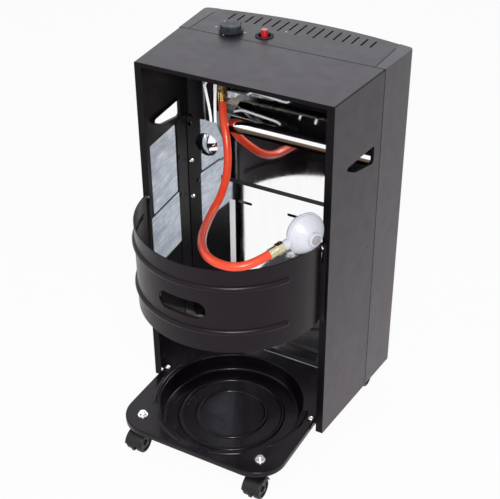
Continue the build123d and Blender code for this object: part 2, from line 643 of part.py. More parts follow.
# ------------------------------------------------------------------ burner
def burner_reflector():
    """Flared bright frame round the plaques, cut back to the bowed front."""
    front_y, back_y = bow_y(0) + 2, REFLECTOR_BACK_Y
    z_mid = (BURNER_OPENING["bottom"] + BURNER_OPENING["top"]) / 2
    rows = PLAQUE["bottom"] + PLAQUE["height"] / 2

    def funnel(shrink):
        front = Plane.XZ.offset(-front_y) * Pos(0, z_mid) * RectangleRounded(
            318 - 2 * shrink, 254 - 2 * shrink, 16)
        back = Plane.XZ.offset(-back_y) * Pos(0, rows) * RectangleRounded(
            284 - 2 * shrink, 160 - 2 * shrink, 8)
        return loft([front, back])

    hollow = funnel(SHEET)
    wall = funnel(0) - hollow
    wall += extrude(Plane.XZ.offset(-back_y) * Pos(0, rows) * RectangleRounded(290, 166, 8), -SHEET)
    for column in (-1, 0, 1):
        window = Rectangle(PLAQUE["width"] - 6, PLAQUE["height"] - 6)
        wall -= extrude(Plane.XZ.offset(-back_y + 1) * Pos(column * PLAQUE["pitch"], rows) * window, -4)
    kept = prism(front_plan(SHEET + 6.2, back_y + 10), 380, 690)
    wall &= kept
    wall -= block(26, 66, -230, REFLECTOR_BACK_Y - 3, 400, 450)
    return wall


def plaque(column):
    p = PLAQUE
    x = column * p["pitch"]
    z = p["bottom"] + p["height"] / 2
    y = PLAQUE_FACE_Y
    tile = block(x - p["width"] / 2, x + p["width"] / 2, y, y + p["thick"], p["bottom"],
                 p["bottom"] + p["height"])
    groove = None
    for k in range(-3, 4):
        cut = block(x - p["width"] / 2 + 5, x + p["width"] / 2 - 5, y - 1, y + 0.8, z + k * 15 - 0.8,
                    z + k * 15 + 0.8)
        groove = cut if groove is None else groove + cut
    return tile - groove


def plenum(column):
    """Gas box behind one plaque with its venturi tube."""
    p = PLAQUE
    x = column * p["pitch"]
    y0, y1 = PLAQUE_FACE_Y + p["thick"], PLENUM_BACK_Y
    z0, z1 = p["bottom"] + 1, PLENUM_TOP
    half = p["width"] / 2 - 1
    box = fillet(block(x - half, x + half, y0, y1, z0, z1).edges().filter_by(Axis.Y), 6)
    box -= fillet(block(x - half + 1, x + half - 1, y0 - 1, y1 - 1, z0 + 1, z1 - 1).edges().filter_by(Axis.Y),
                  5)
    y = MANIFOLD_Y
    section = Polyline((0, VENTURI_BOTTOM), (13, VENTURI_BOTTOM), (8.5, VENTURI_BOTTOM + 18),
                       (8.5, VENTURI_BOTTOM + 34), (11, z0 + 0.5), (0, z0 + 0.5), close=True)
    venturi = revolve(Plane.XZ * make_face(section), Axis.Z)
    inner = Polyline((0, VENTURI_BOTTOM - 1), (12, VENTURI_BOTTOM - 1), (7.5, VENTURI_BOTTOM + 18),
                     (7.5, VENTURI_BOTTOM + 34), (10, z0 + 2), (0, z0 + 2), close=True)
    bore = revolve(Plane.XZ * make_face(inner), Axis.Z)
    return box + Pos(x, y, 0) * venturi - Pos(x, y, 0) * bore


def gas_manifold():
    pipe = rod((-PLAQUE["pitch"] - 14, MANIFOLD_Y, MANIFOLD_Z), (PLAQUE["pitch"] + 14, MANIFOLD_Y, MANIFOLD_Z),
               6)
    for column in (-1, 0, 1):
        pipe += upright(column * PLAQUE["pitch"], MANIFOLD_Y, MANIFOLD_Z, MANIFOLD_Z + 9, 6)
    bracket = block(-150, 150, MANIFOLD_Y + 4.5, MANIFOLD_Y + 6, MANIFOLD_Z - 8, MANIFOLD_Z + 8)
    arm = block(-150, -148.5, MANIFOLD_Y + 4.5, SHIELD_Y, MANIFOLD_Z - 8, MANIFOLD_Z + 8)
    arm += block(148.5, 150, MANIFOLD_Y + 4.5, SHIELD_Y, MANIFOLD_Z - 8, MANIFOLD_Z + 8)
    return pipe + bracket + arm


def injectors():
    parts = []
    for column in (-1, 0, 1):
        body = hex_nut(5.5, 6) + Pos(0, 0, 8) * Cone(3.6, 2.2, 5)
        body -= Pos(0, 0, 5) * Cylinder(0.9, 20)
        parts.append(Pos(column * PLAQUE["pitch"], MANIFOLD_Y, MANIFOLD_Z + 9) * body)
    return Compound(children=parts)


def wire_guard():
    """Bowed wires welded on upright ones just behind the burner opening."""
    wire = 1.5
    inset = SHEET + 0.4 + wire
    guard = None
    half = BURNER_OPENING["half"] + 9
    for k in range(9):
        z = BURNER_OPENING["bottom"] + 18 + k * 25.5
        arc = ThreePointArc((-half, bow_y(half, inset), z), (0, bow_y(0, inset), z),
                            (half, bow_y(half, inset), z))
        bar = sweep(Plane(origin=arc @ 0, z_dir=arc % 0) * Circle(wire), path=arc)
        guard = bar if guard is None else guard + bar
    for x in (-140, -70, 0, 70, 140):
        y = bow_y(x, inset) + 2.2
        guard += upright(x, y, BURNER_OPENING["bottom"] + 6, BURNER_OPENING["top"] - 6, wire)
    return guard


PILOT_Y = REFLECTOR_BACK_Y - 12
PILOT_X = dict(spark=34.0, flame=46.0, thermocouple=58.0)
PILOT_PLATE_Z = 416.0


def pilot_burner():
    x, z = PILOT_X["flame"], PILOT_PLATE_Z
    body = upright(x, PILOT_Y, z - 3, z + 24, 5)
    head = Pos(x, PILOT_Y + 1, z + 25) * Box(13, 12, 6)
    bracket = block(26, 66, PILOT_Y - 7, PILOT_Y + 7, z - 1.5, z)
    bracket += block(26, 66, PILOT_Y + 7, REFLECTOR_BACK_Y, z - 1.5, z)
    for name in ("spark", "thermocouple"):
        bracket -= upright(PILOT_X[name], PILOT_Y, z - 3, z + 2, 3.0)
    return body + head + bracket


def lead_route(x, y, low, z_start):
    """Route of a pilot lead: down, back under the burner, across, then up behind the ear."""
    return [(x, PILOT_Y, z_start), (x, PILOT_Y, low), (x, y, low)]


def pilot_tube():
    x, y = PILOT_X["flame"], -158.0
    points = lead_route(x, y, 398, PILOT_PLATE_Z - 3) + [
        (152, y, 398), (152, y, 640), (VALVE[0] + 2, VALVE[1] - 10, 668),
        (VALVE[0] + 2, VALVE[1] - 10, VALVE_BOTTOM)]
    return tube(points, 2, [5, 5, 12, 10, 5])


def thermocouple():
    x, z = PILOT_X["thermocouple"], PILOT_PLATE_Z
    return upright(x, PILOT_Y, z - 6, z + 36, 2.4) + upright(x, PILOT_Y, z, z + 4, 4.2)


def thermocouple_lead():
    x, y = PILOT_X["thermocouple"], -156.0
    sleeve_y = SEAM_Y - 12
    points = lead_route(x, y, 391, PILOT_PLATE_Z - 6) + [
        (138, y, 391), (138, sleeve_y, 420), (138, sleeve_y, 625), (VALVE[0] + 9, VALVE[1] + 7, 668),
        (VALVE[0] + 9, VALVE[1] + 7, VALVE_BOTTOM)]
    return tube(points, 1.8, [5, 5, 8, 10, 15, 5])


def spark_electrode():
    x, z = PILOT_X["spark"], PILOT_PLATE_Z
    porcelain = upright(x, PILOT_Y, z - 12, z + 16, 2.8) + upright(x, PILOT_Y, z, z + 4, 4.2)
    wire = upright(x, PILOT_Y, z + 14, z + 30, 1.2) + rod((x, PILOT_Y, z + 29), (x + 5, PILOT_Y, z + 34), 1.2)
    return porcelain + wire


def igniter_lead():
    x, y = PILOT_X["spark"], -150.0
    sleeve_y = SEAM_Y - 12
    points = lead_route(x, y, 372, PILOT_PLATE_Z - 12) + [
        (147, y, 372), (147, sleeve_y, 405), (147, sleeve_y, 555), (160, sleeve_y, 622),
        (120, -145, 652), (IGNITER[0], IGNITER[1], 652), (IGNITER[0], IGNITER[1], TOP - 9.2 - 52)]
    return tube(points, 1.8, [5, 5, 8, 10, 30, 12, 12, 6])


def supply_tube():
    """Gas pipe from the valve down to the end of the manifold."""
    x, y = VALVE
    side = 172.0
    points = [(x, y, VALVE_BOTTOM), (x, y, 674), (side, MANIFOLD_Y, 650), (side, MANIFOLD_Y, MANIFOLD_Z),
              (PLAQUE["pitch"] + 14, MANIFOLD_Y, MANIFOLD_Z)]
    return tube(points, 4, [8, 14, 14])


# ------------------------------------------------------------------ valve, knob and igniter
def d_profile(radius, flat):
    return Circle(radius) & Pos(flat / 2 - radius / 2, 0) * Rectangle(flat + radius, 4 * radius)


def gas_valve():
    x, y = VALVE
    body = upright(x, y, VALVE_BOTTOM, TOP - SHEET, VALVE_RADIUS)
    body = fillet(body.edges().group_by(Axis.Z)[0], 3)
    body += rod((x, y, VALVE_BOTTOM + 8), (x, y + 24, VALVE_BOTTOM + 8), 8)
    body += Pos(x, y, TOP - SHEET - 1) * Box(56, 22, 2)
    return body - upright(x, y, VALVE_BOTTOM + 15, TOP, PLUG_RADIUS + PLUG_FIT)


def valve_plug():
    x, y = VALVE
    plug = upright(x, y, VALVE_BOTTOM + 16, TOP - SHEET - 2, PLUG_RADIUS)
    return plug - prism(Pos(x, y) * d_profile(STEM_D_RADIUS + RUNNING_FIT, STEM_FLAT + RUNNING_FIT),
                        VALVE_BOTTOM + 20, TOP)


def valve_stem():
    x, y = VALVE
    return prism(Pos(x, y) * d_profile(STEM_D_RADIUS, STEM_FLAT), VALVE_BOTTOM + 25, TOP + KNOB_GAP + 9)


def control_knob():
    """Lobed grip on a skirt, hollow below, with a D hub for the stem."""
    x, y = VALVE
    base = TOP + KNOB_GAP
    skirt = extrude(Circle(KNOB_RADIUS), 3.5)
    grip = extrude(Circle(KNOB_RADIUS - 2.2), KNOB_HEIGHT, taper=3)
    knob = skirt + grip
    for k in range(3):
        angle = radians(90 + 120 * k)
        scoop = Pos((KNOB_RADIUS + 17) * cos(angle), (KNOB_RADIUS + 17) * sin(angle), 3.5)
        knob -= scoop * Pos(0, 0, 10) * Cylinder(22.5, 20)
    knob = fillet(knob.edges().group_by(Axis.Z)[-1], 2.2)
    knob -= extrude(Circle(KNOB_RADIUS - 5.5), 2.0)
    knob -= extrude(d_profile(STEM_D_RADIUS, STEM_FLAT), 9)
    return Pos(x, y, base) * knob


def igniter_bezel():
    x, y = IGNITER
    cup = upright(x, y, TOP - 9.2, TOP + 1.2, IGNITER_CUP)
    cup = fillet(cup.edges().group_by(Axis.Z)[-1], 0.5)
    cup -= upright(x, y, TOP - 8, TOP + 2, IGNITER_CUP - 1.3)
    cup += upright(x, y, TOP - SHEET - 1.6, TOP - SHEET, 17) - upright(x, y, TOP - 20, TOP, IGNITER_CUP - 1)
    return cup - upright(x, y, TOP - 12, TOP, 4.4)


def igniter_button():
    x, y = IGNITER
    cap = upright(x, y, BUTTON_TOP - 14, BUTTON_TOP, BUTTON_RADIUS)
    cap = fillet(cap.edges().group_by(Axis.Z)[-1], 2.0)
    return cap + upright(x, y, TOP - 25, BUTTON_TOP - 12, 4.0)


def igniter_unit():
    x, y = IGNITER
    top = TOP - 9.2
    body = upright(x, y, top - 45, top, 9)
    body += upright(x, y, top - 52, top - 45, 4)
    body = body - upright(x, y, top - 24, top + 1, 4.0 + RUNNING_FIT)
    return body


def inlet_elbow():
    x, y = VALVE[0], VALVE[1] + 24
    z = VALVE_BOTTOM + 8
    points = [(x, y, z), (x, HOSE_DROP_Y, z), (x, HOSE_DROP_Y, 644)]
    return tube(points, 5, [10])


def hose_nozzle():
    x, y = VALVE[0], HOSE_DROP_Y
    nut = Pos(x, y, 630) * hex_nut(8.5, 14)
    ferrule = upright(x, y, 612, 630, 8.7)
    for z in (616, 620, 624):
        ferrule -= upright(x, y, z - 0.6, z + 0.6, 9.5) - upright(x, y, z - 1, z + 1, 8.1)
    return nut + ferrule


# ------------------------------------------------------------------ retaining belt
def belt_band(radius_in, radius_out, z0, z1, start, end):
    face = make_face(Polyline((radius_in, z0), (radius_out, z0), (radius_out, z1), (radius_in, z1), close=True))
    return Rot(0, 0, start) * revolve(Plane.XZ * face, Axis.Z, end - start)


def belt_hole(grow):
    """Obround hand hole through the back of the belt."""
    azimuth, height = 88.5, 395.0
    face = SlotOverall(93 + 2 * grow, 34 + 2 * grow)
    plane = Plane(origin=(0, 0, height), x_dir=(-sin(radians(azimuth)), cos(radians(azimuth)), 0),
                  z_dir=(cos(radians(azimuth)), sin(radians(azimuth)), 0))
    return extrude(plane.offset(150) * face, 40)


def retaining_belt():
    outer, inner = BELT_RADIUS + SHEET / 2, BELT_RADIUS - SHEET / 2
    band = belt_band(inner, outer, BELT_BOTTOM, BELT_TOP, BELT_START, BELT_END)
    for z0, z1 in ((BELT_BOTTOM, BELT_BOTTOM + 6), (BELT_TOP - 6, BELT_TOP)):
        band += belt_band(inner - SHEET, inner + 0.1, z0, z1, BELT_START, BELT_END)
    radius, drop = pressed_bead(BEAD_RISE, BEAD_HALF_WIDTH)
    keep_out = Pos(0, 0, 400) * Cylinder(inner, 300)
    for z in BELT_BEADS:
        solid = ring_arc(outer - drop, z, radius, 10, 151) - keep_out
        band = band + solid - ring_arc(outer - drop, z, radius - SHEET, 10, 151)
    rim = belt_hole(SHEET) & (Pos(0, 0, 395) * (Cylinder(outer, 60) - Cylinder(outer - 6, 60)))
    band = band + rim - belt_hole(0)
    band = Pos(0, BELT_Y, 0) * band
    # hinge barrel and the short neck that joins it to the band
    z0, z1 = BELT_BOTTOM + 24, BELT_TOP - 24
    neck = belt_band(inner, outer, z0, z1, 1.2, BELT_START + 0.2)
    band += Pos(0, BELT_Y, 0) * neck
    band += upright(BELT_RADIUS, HINGE_Y, z0, z1, HINGE_BARREL)
    band -= upright(BELT_RADIUS, HINGE_Y, z0 - 1, z1 + 1, HINGE_PIN + RUNNING_FIT)
    # flat latch strip at the other end
    y0 = HOOD_REAR + 2.6
    strip = block(LATCH_X - 7, -BELT_RADIUS + 12, y0, y0 + 1.2, BELT_BOTTOM + 4, BELT_TOP - 2)
    strip += block(-BELT_RADIUS - 0.5, -BELT_RADIUS + 0.5, y0, HOOD_REAR + 8, BELT_BOTTOM + 4, BELT_TOP - 2)
    strip -= rod((LATCH_X, y0 - 1, LATCH_Z), (LATCH_X, y0 + 3, LATCH_Z), 3.3)
    keyhole = Pos(LATCH_X, LATCH_Z - 20) * Rot(0, 0, 90) * SlotOverall(22, 4.5)
    strip -= extrude(Plane.XZ.offset(-y0 - 3) * keyhole, 6)
    return band + strip


def hinge_lug(z0, z1):
    leaf = block(BELT_RADIUS + 1.5, REAR_HALF - 1, HOOD_REAR, HOOD_REAR + 1.6, z0, z1)
    arm = block(BELT_RADIUS - 2, BELT_RADIUS + 3.5, HOOD_REAR, HINGE_Y, z0, z1)
    barrel = upright(BELT_RADIUS, HINGE_Y, z0, z1, HINGE_BARREL)
    return leaf + arm + barrel - upright(BELT_RADIUS, HINGE_Y, z0 - 1, z1 + 1, HINGE_PIN)


def belt_hinge_lugs():
    return Compound(children=[hinge_lug(BELT_BOTTOM + 9, BELT_BOTTOM + 23.8),
                              hinge_lug(BELT_TOP - 23.8, BELT_TOP - 9)])


def belt_hinge_pin():
    low, high = BELT_BOTTOM + 9, BELT_TOP - 9
    pin = upright(BELT_RADIUS, HINGE_Y, low - 2, high + 2, HINGE_PIN)
    pin += upright(BELT_RADIUS, HINGE_Y, high, high + 2.5, 3.2)
    return pin + upright(BELT_RADIUS, HINGE_Y, low - 2.5, low, 3.2)


def belt_latch_stud():
    stud = rod((LATCH_X, HOOD_REAR, LATCH_Z), (LATCH_X, HOOD_REAR + 7, LATCH_Z), 2.6)
    return fillet(stud.edges().sort_by(Axis.Y)[-1], 1.6)


# ------------------------------------------------------------------ regulator and hose
def regulator_plane():
    return Plane(origin=REGULATOR_CENTRE, x_dir=REGULATOR_TAIL, z_dir=REGULATOR_AXIS)


def along_tail(x0, x1, radius):
    return extrude(Plane(origin=(x0, 0, 0), z_dir=(1, 0, 0)) * Circle(radius), x1 - x0)


def on_regulator(shape):
    return regulator_plane().location * shape


def regulator_body():
    r = REGULATOR_RADIUS
    section = Polyline((0, 1.4), (r, 1.4), (r, -1.6), (r - 4, -1.6), (r - 6, -11), (0, -11), close=True)
    body = revolve(Plane.XZ * make_face(section), Axis.Z)
    neck = along_tail(26, 45, 8.5) - Pos(0, 0, 11.4) * Cylinder(r - 1, 20)
    socket = Pos(0, 0, -17) * Cylinder(17, 13)
    body = body + neck + socket - Pos(0, 0, -17.6) * Cylinder(11, 13)
    return on_regulator(body)


def regulator_dome():
    r = REGULATOR_RADIUS - 1.5
    outline = Polyline((0, 1.4), (r, 1.4), (r, 4.5)) + ThreePointArc((r, 4.5), (r * 0.62, 18.5), (13, 24))
    outline += Polyline((13, 24), (0, 24), (0, 1.4))
    dome = revolve(Plane.XZ * make_face(outline), Axis.Z)
    hollow = Polyline((0, 1.4), (r - 3, 1.4), (r - 3, 4), (r * 0.55, 16), (0, 20), close=True)
    return on_regulator(dome - revolve(Plane.XZ * make_face(hollow), Axis.Z))


def regulator_cap():
    cap = Pos(0, 0, 25.9) * Cylinder(12.5, 3.8)
    cap = fillet(cap.edges().group_by(Axis.Z)[-1], 1.2)
    return on_regulator(cap - Pos(0, 0, 27.8) * Cylinder(8.5, 1.6))


def regulator_nut():
    nut = Plane(origin=(45, 0, 0), z_dir=(1, 0, 0)).location * hex_nut(9.5, 13)
    return on_regulator(nut)


def hose_ferrule():
    ferrule = along_tail(58, TAIL_LENGTH, 8.7)
    for x in (62, 66, 70):
        ferrule -= along_tail(x - 0.6, x + 0.6, 9.5) - along_tail(x - 1, x + 1, 8.1)
    return on_regulator(ferrule)


def on_tail(distance):
    """A point of the regulator's outlet line."""
    point = Vector(*REGULATOR_CENTRE) + Vector(*REGULATOR_TAIL).normalized() * distance
    return (point.X, point.Y, point.Z)


def gas_hose():
    points = HOSE_POINTS + [on_tail(TAIL_LENGTH + TAIL_STRAIGHT), on_tail(TAIL_LENGTH)]
    radii = corner_radii(points)
    print("hose radii", [round(r) for r in radii])
    path = FilletPolyline(*points, radius=radii)
    solid = tube(points, HOSE_RADIUS, radii)
    length = sum(e.length for e in path.edges())
    print("hose length", round(length, 1), "volume ratio", solid.volume / (pi * HOSE_RADIUS ** 2 * length))
    return solid


# ------------------------------------------------------------------ build
PIECES = {
    "hood": hood, "front_casing": front_casing, "control_panel": control_panel, "base_plate": base_plate,
    "rear_heat_shield": rear_heat_shield, "burner_rear_cover": burner_rear_cover,
    "burner_reflector": burner_reflector, "wire_guard": wire_guard,
    "plaque_left": lambda: plaque(1), "plaque_centre": lambda: plaque(0), "plaque_right": lambda: plaque(-1),
    "plenum_left": lambda: plenum(1), "plenum_centre": lambda: plenum(0), "plenum_right": lambda: plenum(-1),
    "gas_manifold": gas_manifold, "injectors": injectors, "supply_tube": supply_tube,
    "gas_valve": gas_valve, "valve_plug": valve_plug,
    "valve_stem": valve_stem, "control_knob": control_knob, "inlet_elbow": inlet_elbow,
    "hose_nozzle": hose_nozzle, "igniter_bezel": igniter_bezel, "igniter_button": igniter_button,
    "igniter_unit": igniter_unit, "pilot_burner": pilot_burner, "pilot_tube": pilot_tube,
    "thermocouple": thermocouple, "thermocouple_lead": thermocouple_lead, "spark_electrode": spark_electrode,
    "igniter_lead": igniter_lead, "gas_hose": gas_hose, "regulator_body": regulator_body,
    "regulator_dome": regulator_dome, "regulator_cap": regulator_cap, "regulator_nut": regulator_nut,
    "hose_ferrule": hose_ferrule, "retaining_belt": retaining_belt, "belt_hinge_pin": belt_hinge_pin,
    "belt_hinge_lugs": belt_hinge_lugs, "belt_latch_stud": belt_latch_stud, "caster_stems": caster_stems,
    "caster_nuts": caster_nuts, "plate_bolts": plate_bolts, "side_screws": side_screws,
    "shield_screws": shield_screws,
}
for spot in CASTER_SPOTS:
    PIECES["caster_hood_" + spot] = lambda s=spot: at_caster(s, caster_hood())
    PIECES["caster_axle_" + spot] = lambda s=spot: at_caster(s, caster_axle())
    PIECES["caster_wheels_" + spot] = lambda s=spot: at_caster(s, caster_wheels())

os.makedirs("parts", exist_ok=True)
for name, make in PIECES.items():
    export_step(make(), f"parts/{name}.step")
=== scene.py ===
"""Looks of the portable gas cabinet heater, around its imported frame. Metres, row frame."""
import json
from math import cos, pi, radians, sin

import bmesh
import bpy
from mathutils import Matrix, Vector


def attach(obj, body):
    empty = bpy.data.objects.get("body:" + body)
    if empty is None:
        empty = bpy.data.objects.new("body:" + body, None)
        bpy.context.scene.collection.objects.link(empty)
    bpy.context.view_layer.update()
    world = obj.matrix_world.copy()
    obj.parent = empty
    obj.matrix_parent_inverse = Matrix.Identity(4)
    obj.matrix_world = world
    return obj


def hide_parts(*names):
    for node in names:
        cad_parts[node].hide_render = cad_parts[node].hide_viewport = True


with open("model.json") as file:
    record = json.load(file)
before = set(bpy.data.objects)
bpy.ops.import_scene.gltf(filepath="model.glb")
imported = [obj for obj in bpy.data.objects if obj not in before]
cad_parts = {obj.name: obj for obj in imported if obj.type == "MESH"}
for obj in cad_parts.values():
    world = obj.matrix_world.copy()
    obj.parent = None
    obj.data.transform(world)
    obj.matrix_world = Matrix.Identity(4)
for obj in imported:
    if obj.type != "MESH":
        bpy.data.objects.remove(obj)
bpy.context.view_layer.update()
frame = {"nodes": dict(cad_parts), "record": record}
nodes = frame["nodes"]

# ------------------------------------------------------------------ sizes that match the solids
TOP = 0.730
# joint between hood and casing
SEAM_Y = -0.1065
# walls of the hood: half width at their rear edge, how it grows toward the front, and the sheet
WALL_REAR_HALF = 0.187
WALL_TAPER = 0.0808
WALL_REAR_Y = 0.061
WALL_SHEET = 0.001
KNOB_AXIS = (0.106, SEAM_Y - 0.022)
IGNITER = (0.044, SEAM_Y - 0.032)
# the gap on each side of the control panel starts at this x and ends at this y
PANEL_EDGE = 0.1805
PANEL_FRONT_Y = -0.1960
COVER_FACE_Y = SEAM_Y + 0.008
COVER_BOTTOM = 0.450
SHIELD_FACE_Y = SEAM_Y - 0.0062
HOSE_RADIUS = 0.0075
# the regulator's middle, the way its cap looks and the way its tail points
REGULATOR = Vector((-0.1629, 0.1065, 0.5178))
REGULATOR_AXIS = Vector((-0.874, 0.479, 0.080)).normalized()
TAIL = Vector((0.4545, 0.8649, -0.2132)).normalized()


def inner_wall(y):
    """Distance of the hood's inner wall from the middle, at this y."""
    return WALL_REAR_HALF + WALL_TAPER * (WALL_REAR_Y - y) - WALL_SHEET


# ------------------------------------------------------------------ camera
CAMERA_AT = (-0.8044, 1.4466, 1.4664)
CAMERA_AZIMUTH = radians(209.07)
CAMERA_ELEVATION = radians(33.45)
CAMERA_ROLL = radians(-0.47)
CAMERA_LENS = 77.75
SENSOR_WIDTH = 36.0
CLIP_START = 0.05

back = Vector((sin(CAMERA_AZIMUTH) * cos(CAMERA_ELEVATION), -cos(CAMERA_AZIMUTH) * cos(CAMERA_ELEVATION),
               sin(CAMERA_ELEVATION)))
level = (-back).cross(Vector((0, 0, 1))).normalized()
upward = level.cross(-back)
right = level * cos(CAMERA_ROLL) + upward * sin(CAMERA_ROLL)
up = upward * cos(CAMERA_ROLL) - level * sin(CAMERA_ROLL)
camera_data = bpy.data.cameras.new("camera")
camera_data.lens = CAMERA_LENS
camera_data.sensor_width = SENSOR_WIDTH
camera_data.clip_start = CLIP_START
camera = bpy.data.objects.new("camera", camera_data)
camera.matrix_world = Matrix(((right.x, up.x, back.x, CAMERA_AT[0]), (right.y, up.y, back.y, CAMERA_AT[1]),
                              (right.z, up.z, back.z, CAMERA_AT[2]), (0, 0, 0, 1)))
bpy.context.collection.objects.link(camera)
bpy.context.scene.camera = camera


# ------------------------------------------------------------------ material helpers
class Nodes:
    """A material's node tree with short ways to add and join nodes."""

    def __init__(self, name):
        self.material = bpy.data.materials.new(name)
        self.material.use_nodes = True
        self.tree = self.material.node_tree
        self.shader = self.tree.nodes["Principled BSDF"]
        self.coords = self.add("ShaderNodeTexCoord").outputs["Object"]

    def add(self, kind, **values):
        node = self.tree.nodes.new(kind)
        for key, value in values.items():
            setattr(node, key, value)
        return node

    def link(self, out, into):
        self.tree.links.new(out, into)

    def give(self, socket, value):
        """Links a socket's output into this input, or sets a plain number."""
        if isinstance(value, (int, float)):
            socket.default_value = value
        else:
            self.link(value, socket)

    def set(self, **values):
        for key, value in values.items():
            self.shader.inputs[key.replace("_", " ")].default_value = value

    def axes(self, vector=None):
        """X, Y and Z of a vector, by default of the place on the object."""
        node = self.add("ShaderNodeSeparateXYZ")
        self.link(self.coords if vector is None else vector, node.inputs[0])
        return node.outputs

    def maths(self, operation, *values):
        node = self.add("ShaderNodeMath", operation=operation)
        for socket, value in zip(node.inputs, values):
            self.give(socket, value)
        return node.outputs[0]

    def between(self, value, start, end):
        """Share from 0 at the start to 1 at the end."""
        node = self.add("ShaderNodeMapRange")
        self.link(value, node.inputs["Value"])
        node.inputs["From Min"].default_value = start
        node.inputs["From Max"].default_value = end
        return node.outputs[0]

    def mix(self, share, first, second, blend="MIX"):
        """Mix of two colours; a Mix node's colour sockets are its seventh and eighth."""
        node = self.add("ShaderNodeMix", data_type="RGBA", blend_type=blend)
        self.give(node.inputs[0], share)
        self.link(first, node.inputs[6])
        self.link(second, node.inputs[7])
        return node.outputs[2]

    def scaled(self, scale):
        mapping = self.add("ShaderNodeMapping")
        mapping.inputs["Scale"].default_value = scale if isinstance(scale, tuple) else (scale,) * 3
        self.link(self.coords, mapping.inputs["Vector"])
        return mapping.outputs["Vector"]

    def noise(self, scale, detail=3.0, roughness=0.5):
        node = self.add("ShaderNodeTexNoise")
        self.link(self.scaled(scale), node.inputs["Vector"])
        node.inputs["Scale"].default_value = 1.0
        node.inputs["Detail"].default_value = detail
        node.inputs["Roughness"].default_value = roughness
        return node.outputs["Fac"]

    def cells(self, scale):
        """Distance from the middle of the nearest cell."""
        node = self.add("ShaderNodeTexVoronoi")
        self.link(self.scaled(scale), node.inputs["Vector"])
        node.inputs["Scale"].default_value = 1.0
        return node.outputs["Distance"]

    def ramp(self, source, stops):
        node = self.add("ShaderNodeValToRGB")
        self.link(source, node.inputs["Fac"])
        elements = node.color_ramp.elements
        while len(elements) < len(stops):
            elements.new(0.5)
        for element, (place, colour) in zip(elements, stops):
            element.position = place
            element.color = (*colour, 1.0) if isinstance(colour, tuple) else (colour, colour, colour, 1.0)
        return node.outputs["Color"]

    def bump(self, height, strength, distance, under=None):
        node = self.add("ShaderNodeBump")
        node.inputs["Strength"].default_value = strength
        node.inputs["Distance"].default_value = distance
        self.link(height, node.inputs["Height"])
        if under is not None:
            self.link(under, node.inputs["Normal"])
        return node.outputs["Normal"]

    def colour(self, source):
        self.link(source, self.shader.inputs["Base Color"])

    def roughness(self, source):
        self.link(source, self.shader.inputs["Roughness"])

    def shine(self, source):
        self.link(source, self.shader.inputs["Specular IOR Level"])

    def normal(self, source):
        self.link(source, self.shader.inputs["Normal"])


# ------------------------------------------------------------------ materials
UNTOUCHED = (1.0, 1.0, 1.0)
# slightly violet reflection of the sprayed enamel
ENAMEL_TINT = (1.0, 0.86, 0.98, 1.0)
# painted shade: darker enamel with less shine on the cabinet's inner faces; painted light: paler enamel
# toward the floor on its outer ones
INNER_PAINTED_SHADE = [(0.3, (0.0022, 0.0018, 0.0022)), (0.7, (0.0040, 0.0032, 0.0040))]
INNER_SHINE = 0.12
FLOOR_PAINTED_LIGHT = [(0.3, (0.0400, 0.0300, 0.0380)), (0.7, (0.0480, 0.0365, 0.0455))]
# heights between which painted light turns the outer faces paler, from above to below
FLOOR_LIGHT_FROM = 0.56
FLOOR_LIGHT_TO = 0.12
EVERY_Y = -1.0
# the casing's face is an outer one in front of this y
CASING_FACE_Y = -0.125
# the rear cover leans this much off upright, and a brown painted reflection darkens it between two heights
COVER_LEAN = 0.012
PAINTED_REFLECTION_HEIGHTS = (0.546, 0.5594)
# the shield's screws above this height are dark
BLACK_HEADS_ABOVE = 0.52
FLUTES = 48


def sprayed_grain(m, grain, strength):
    """Orange peel over broad shallow waves."""
    peel = m.bump(m.noise(grain, 2, 0.6), strength, 0.0004)
    m.normal(m.bump(m.noise(9, 1), 0.05, 0.002, peel))


def painted(name, dark, light, rough_low, rough_high, grain, strength, coat=0.0, shine=0.5):
    """Sprayed enamel: faint mottling, an orange-peel grain and uneven gloss."""
    m = Nodes(name)
    m.set(Specular_IOR_Level=shine, Specular_Tint=ENAMEL_TINT)
    m.colour(m.ramp(m.noise(14, 4), [(0.3, dark), (0.7, light)]))
    m.roughness(m.ramp(m.noise(38, 5), [(0.3, rough_low), (0.75, rough_high)]))
    sprayed_grain(m, grain, strength)
    if coat:
        m.set(Coat_Weight=coat, Coat_Roughness=0.06)
    return m.material


def enamel_with_painted_shade_and_light(name, dark, light, shine, shaded_behind=EVERY_Y):
    """Sprayed enamel, with painted shade darkening the cabinet's inner faces behind a y and painted light
    making the outer faces paler toward the floor.
    """
    m = Nodes(name)
    m.set(Specular_Tint=ENAMEL_TINT)
    x, y, z = m.axes()
    # mask of the inner faces, which get painted shade
    untapered = m.maths("MULTIPLY_ADD", y, WALL_TAPER, m.maths("ABSOLUTE", x))
    within = m.maths("LESS_THAN", untapered, WALL_REAR_HALF - WALL_SHEET / 2 + WALL_TAPER * WALL_REAR_Y)
    under_top = m.maths("LESS_THAN", z, TOP - WALL_SHEET / 2)
    behind = m.maths("GREATER_THAN", y, shaded_behind)
    inside = m.maths("MULTIPLY", within, m.maths("MULTIPLY", under_top, behind))
    sprayed = m.ramp(m.noise(14, 4), [(0.3, dark), (0.7, light)])
    # painted light: the outer faces turn paler toward the floor
    outer = m.mix(m.between(z, FLOOR_LIGHT_FROM, FLOOR_LIGHT_TO), sprayed, m.ramp(m.noise(11, 4), FLOOR_PAINTED_LIGHT))
    m.colour(m.mix(inside, outer, m.ramp(m.noise(14, 4), INNER_PAINTED_SHADE)))
    m.shine(m.maths("MULTIPLY_ADD", inside, INNER_SHINE - shine, shine))
    m.roughness(m.ramp(m.noise(38, 5), [(0.3, 0.34), (0.75, 0.42)]))
    sprayed_grain(m, 1500, 0.12)
    return m.material


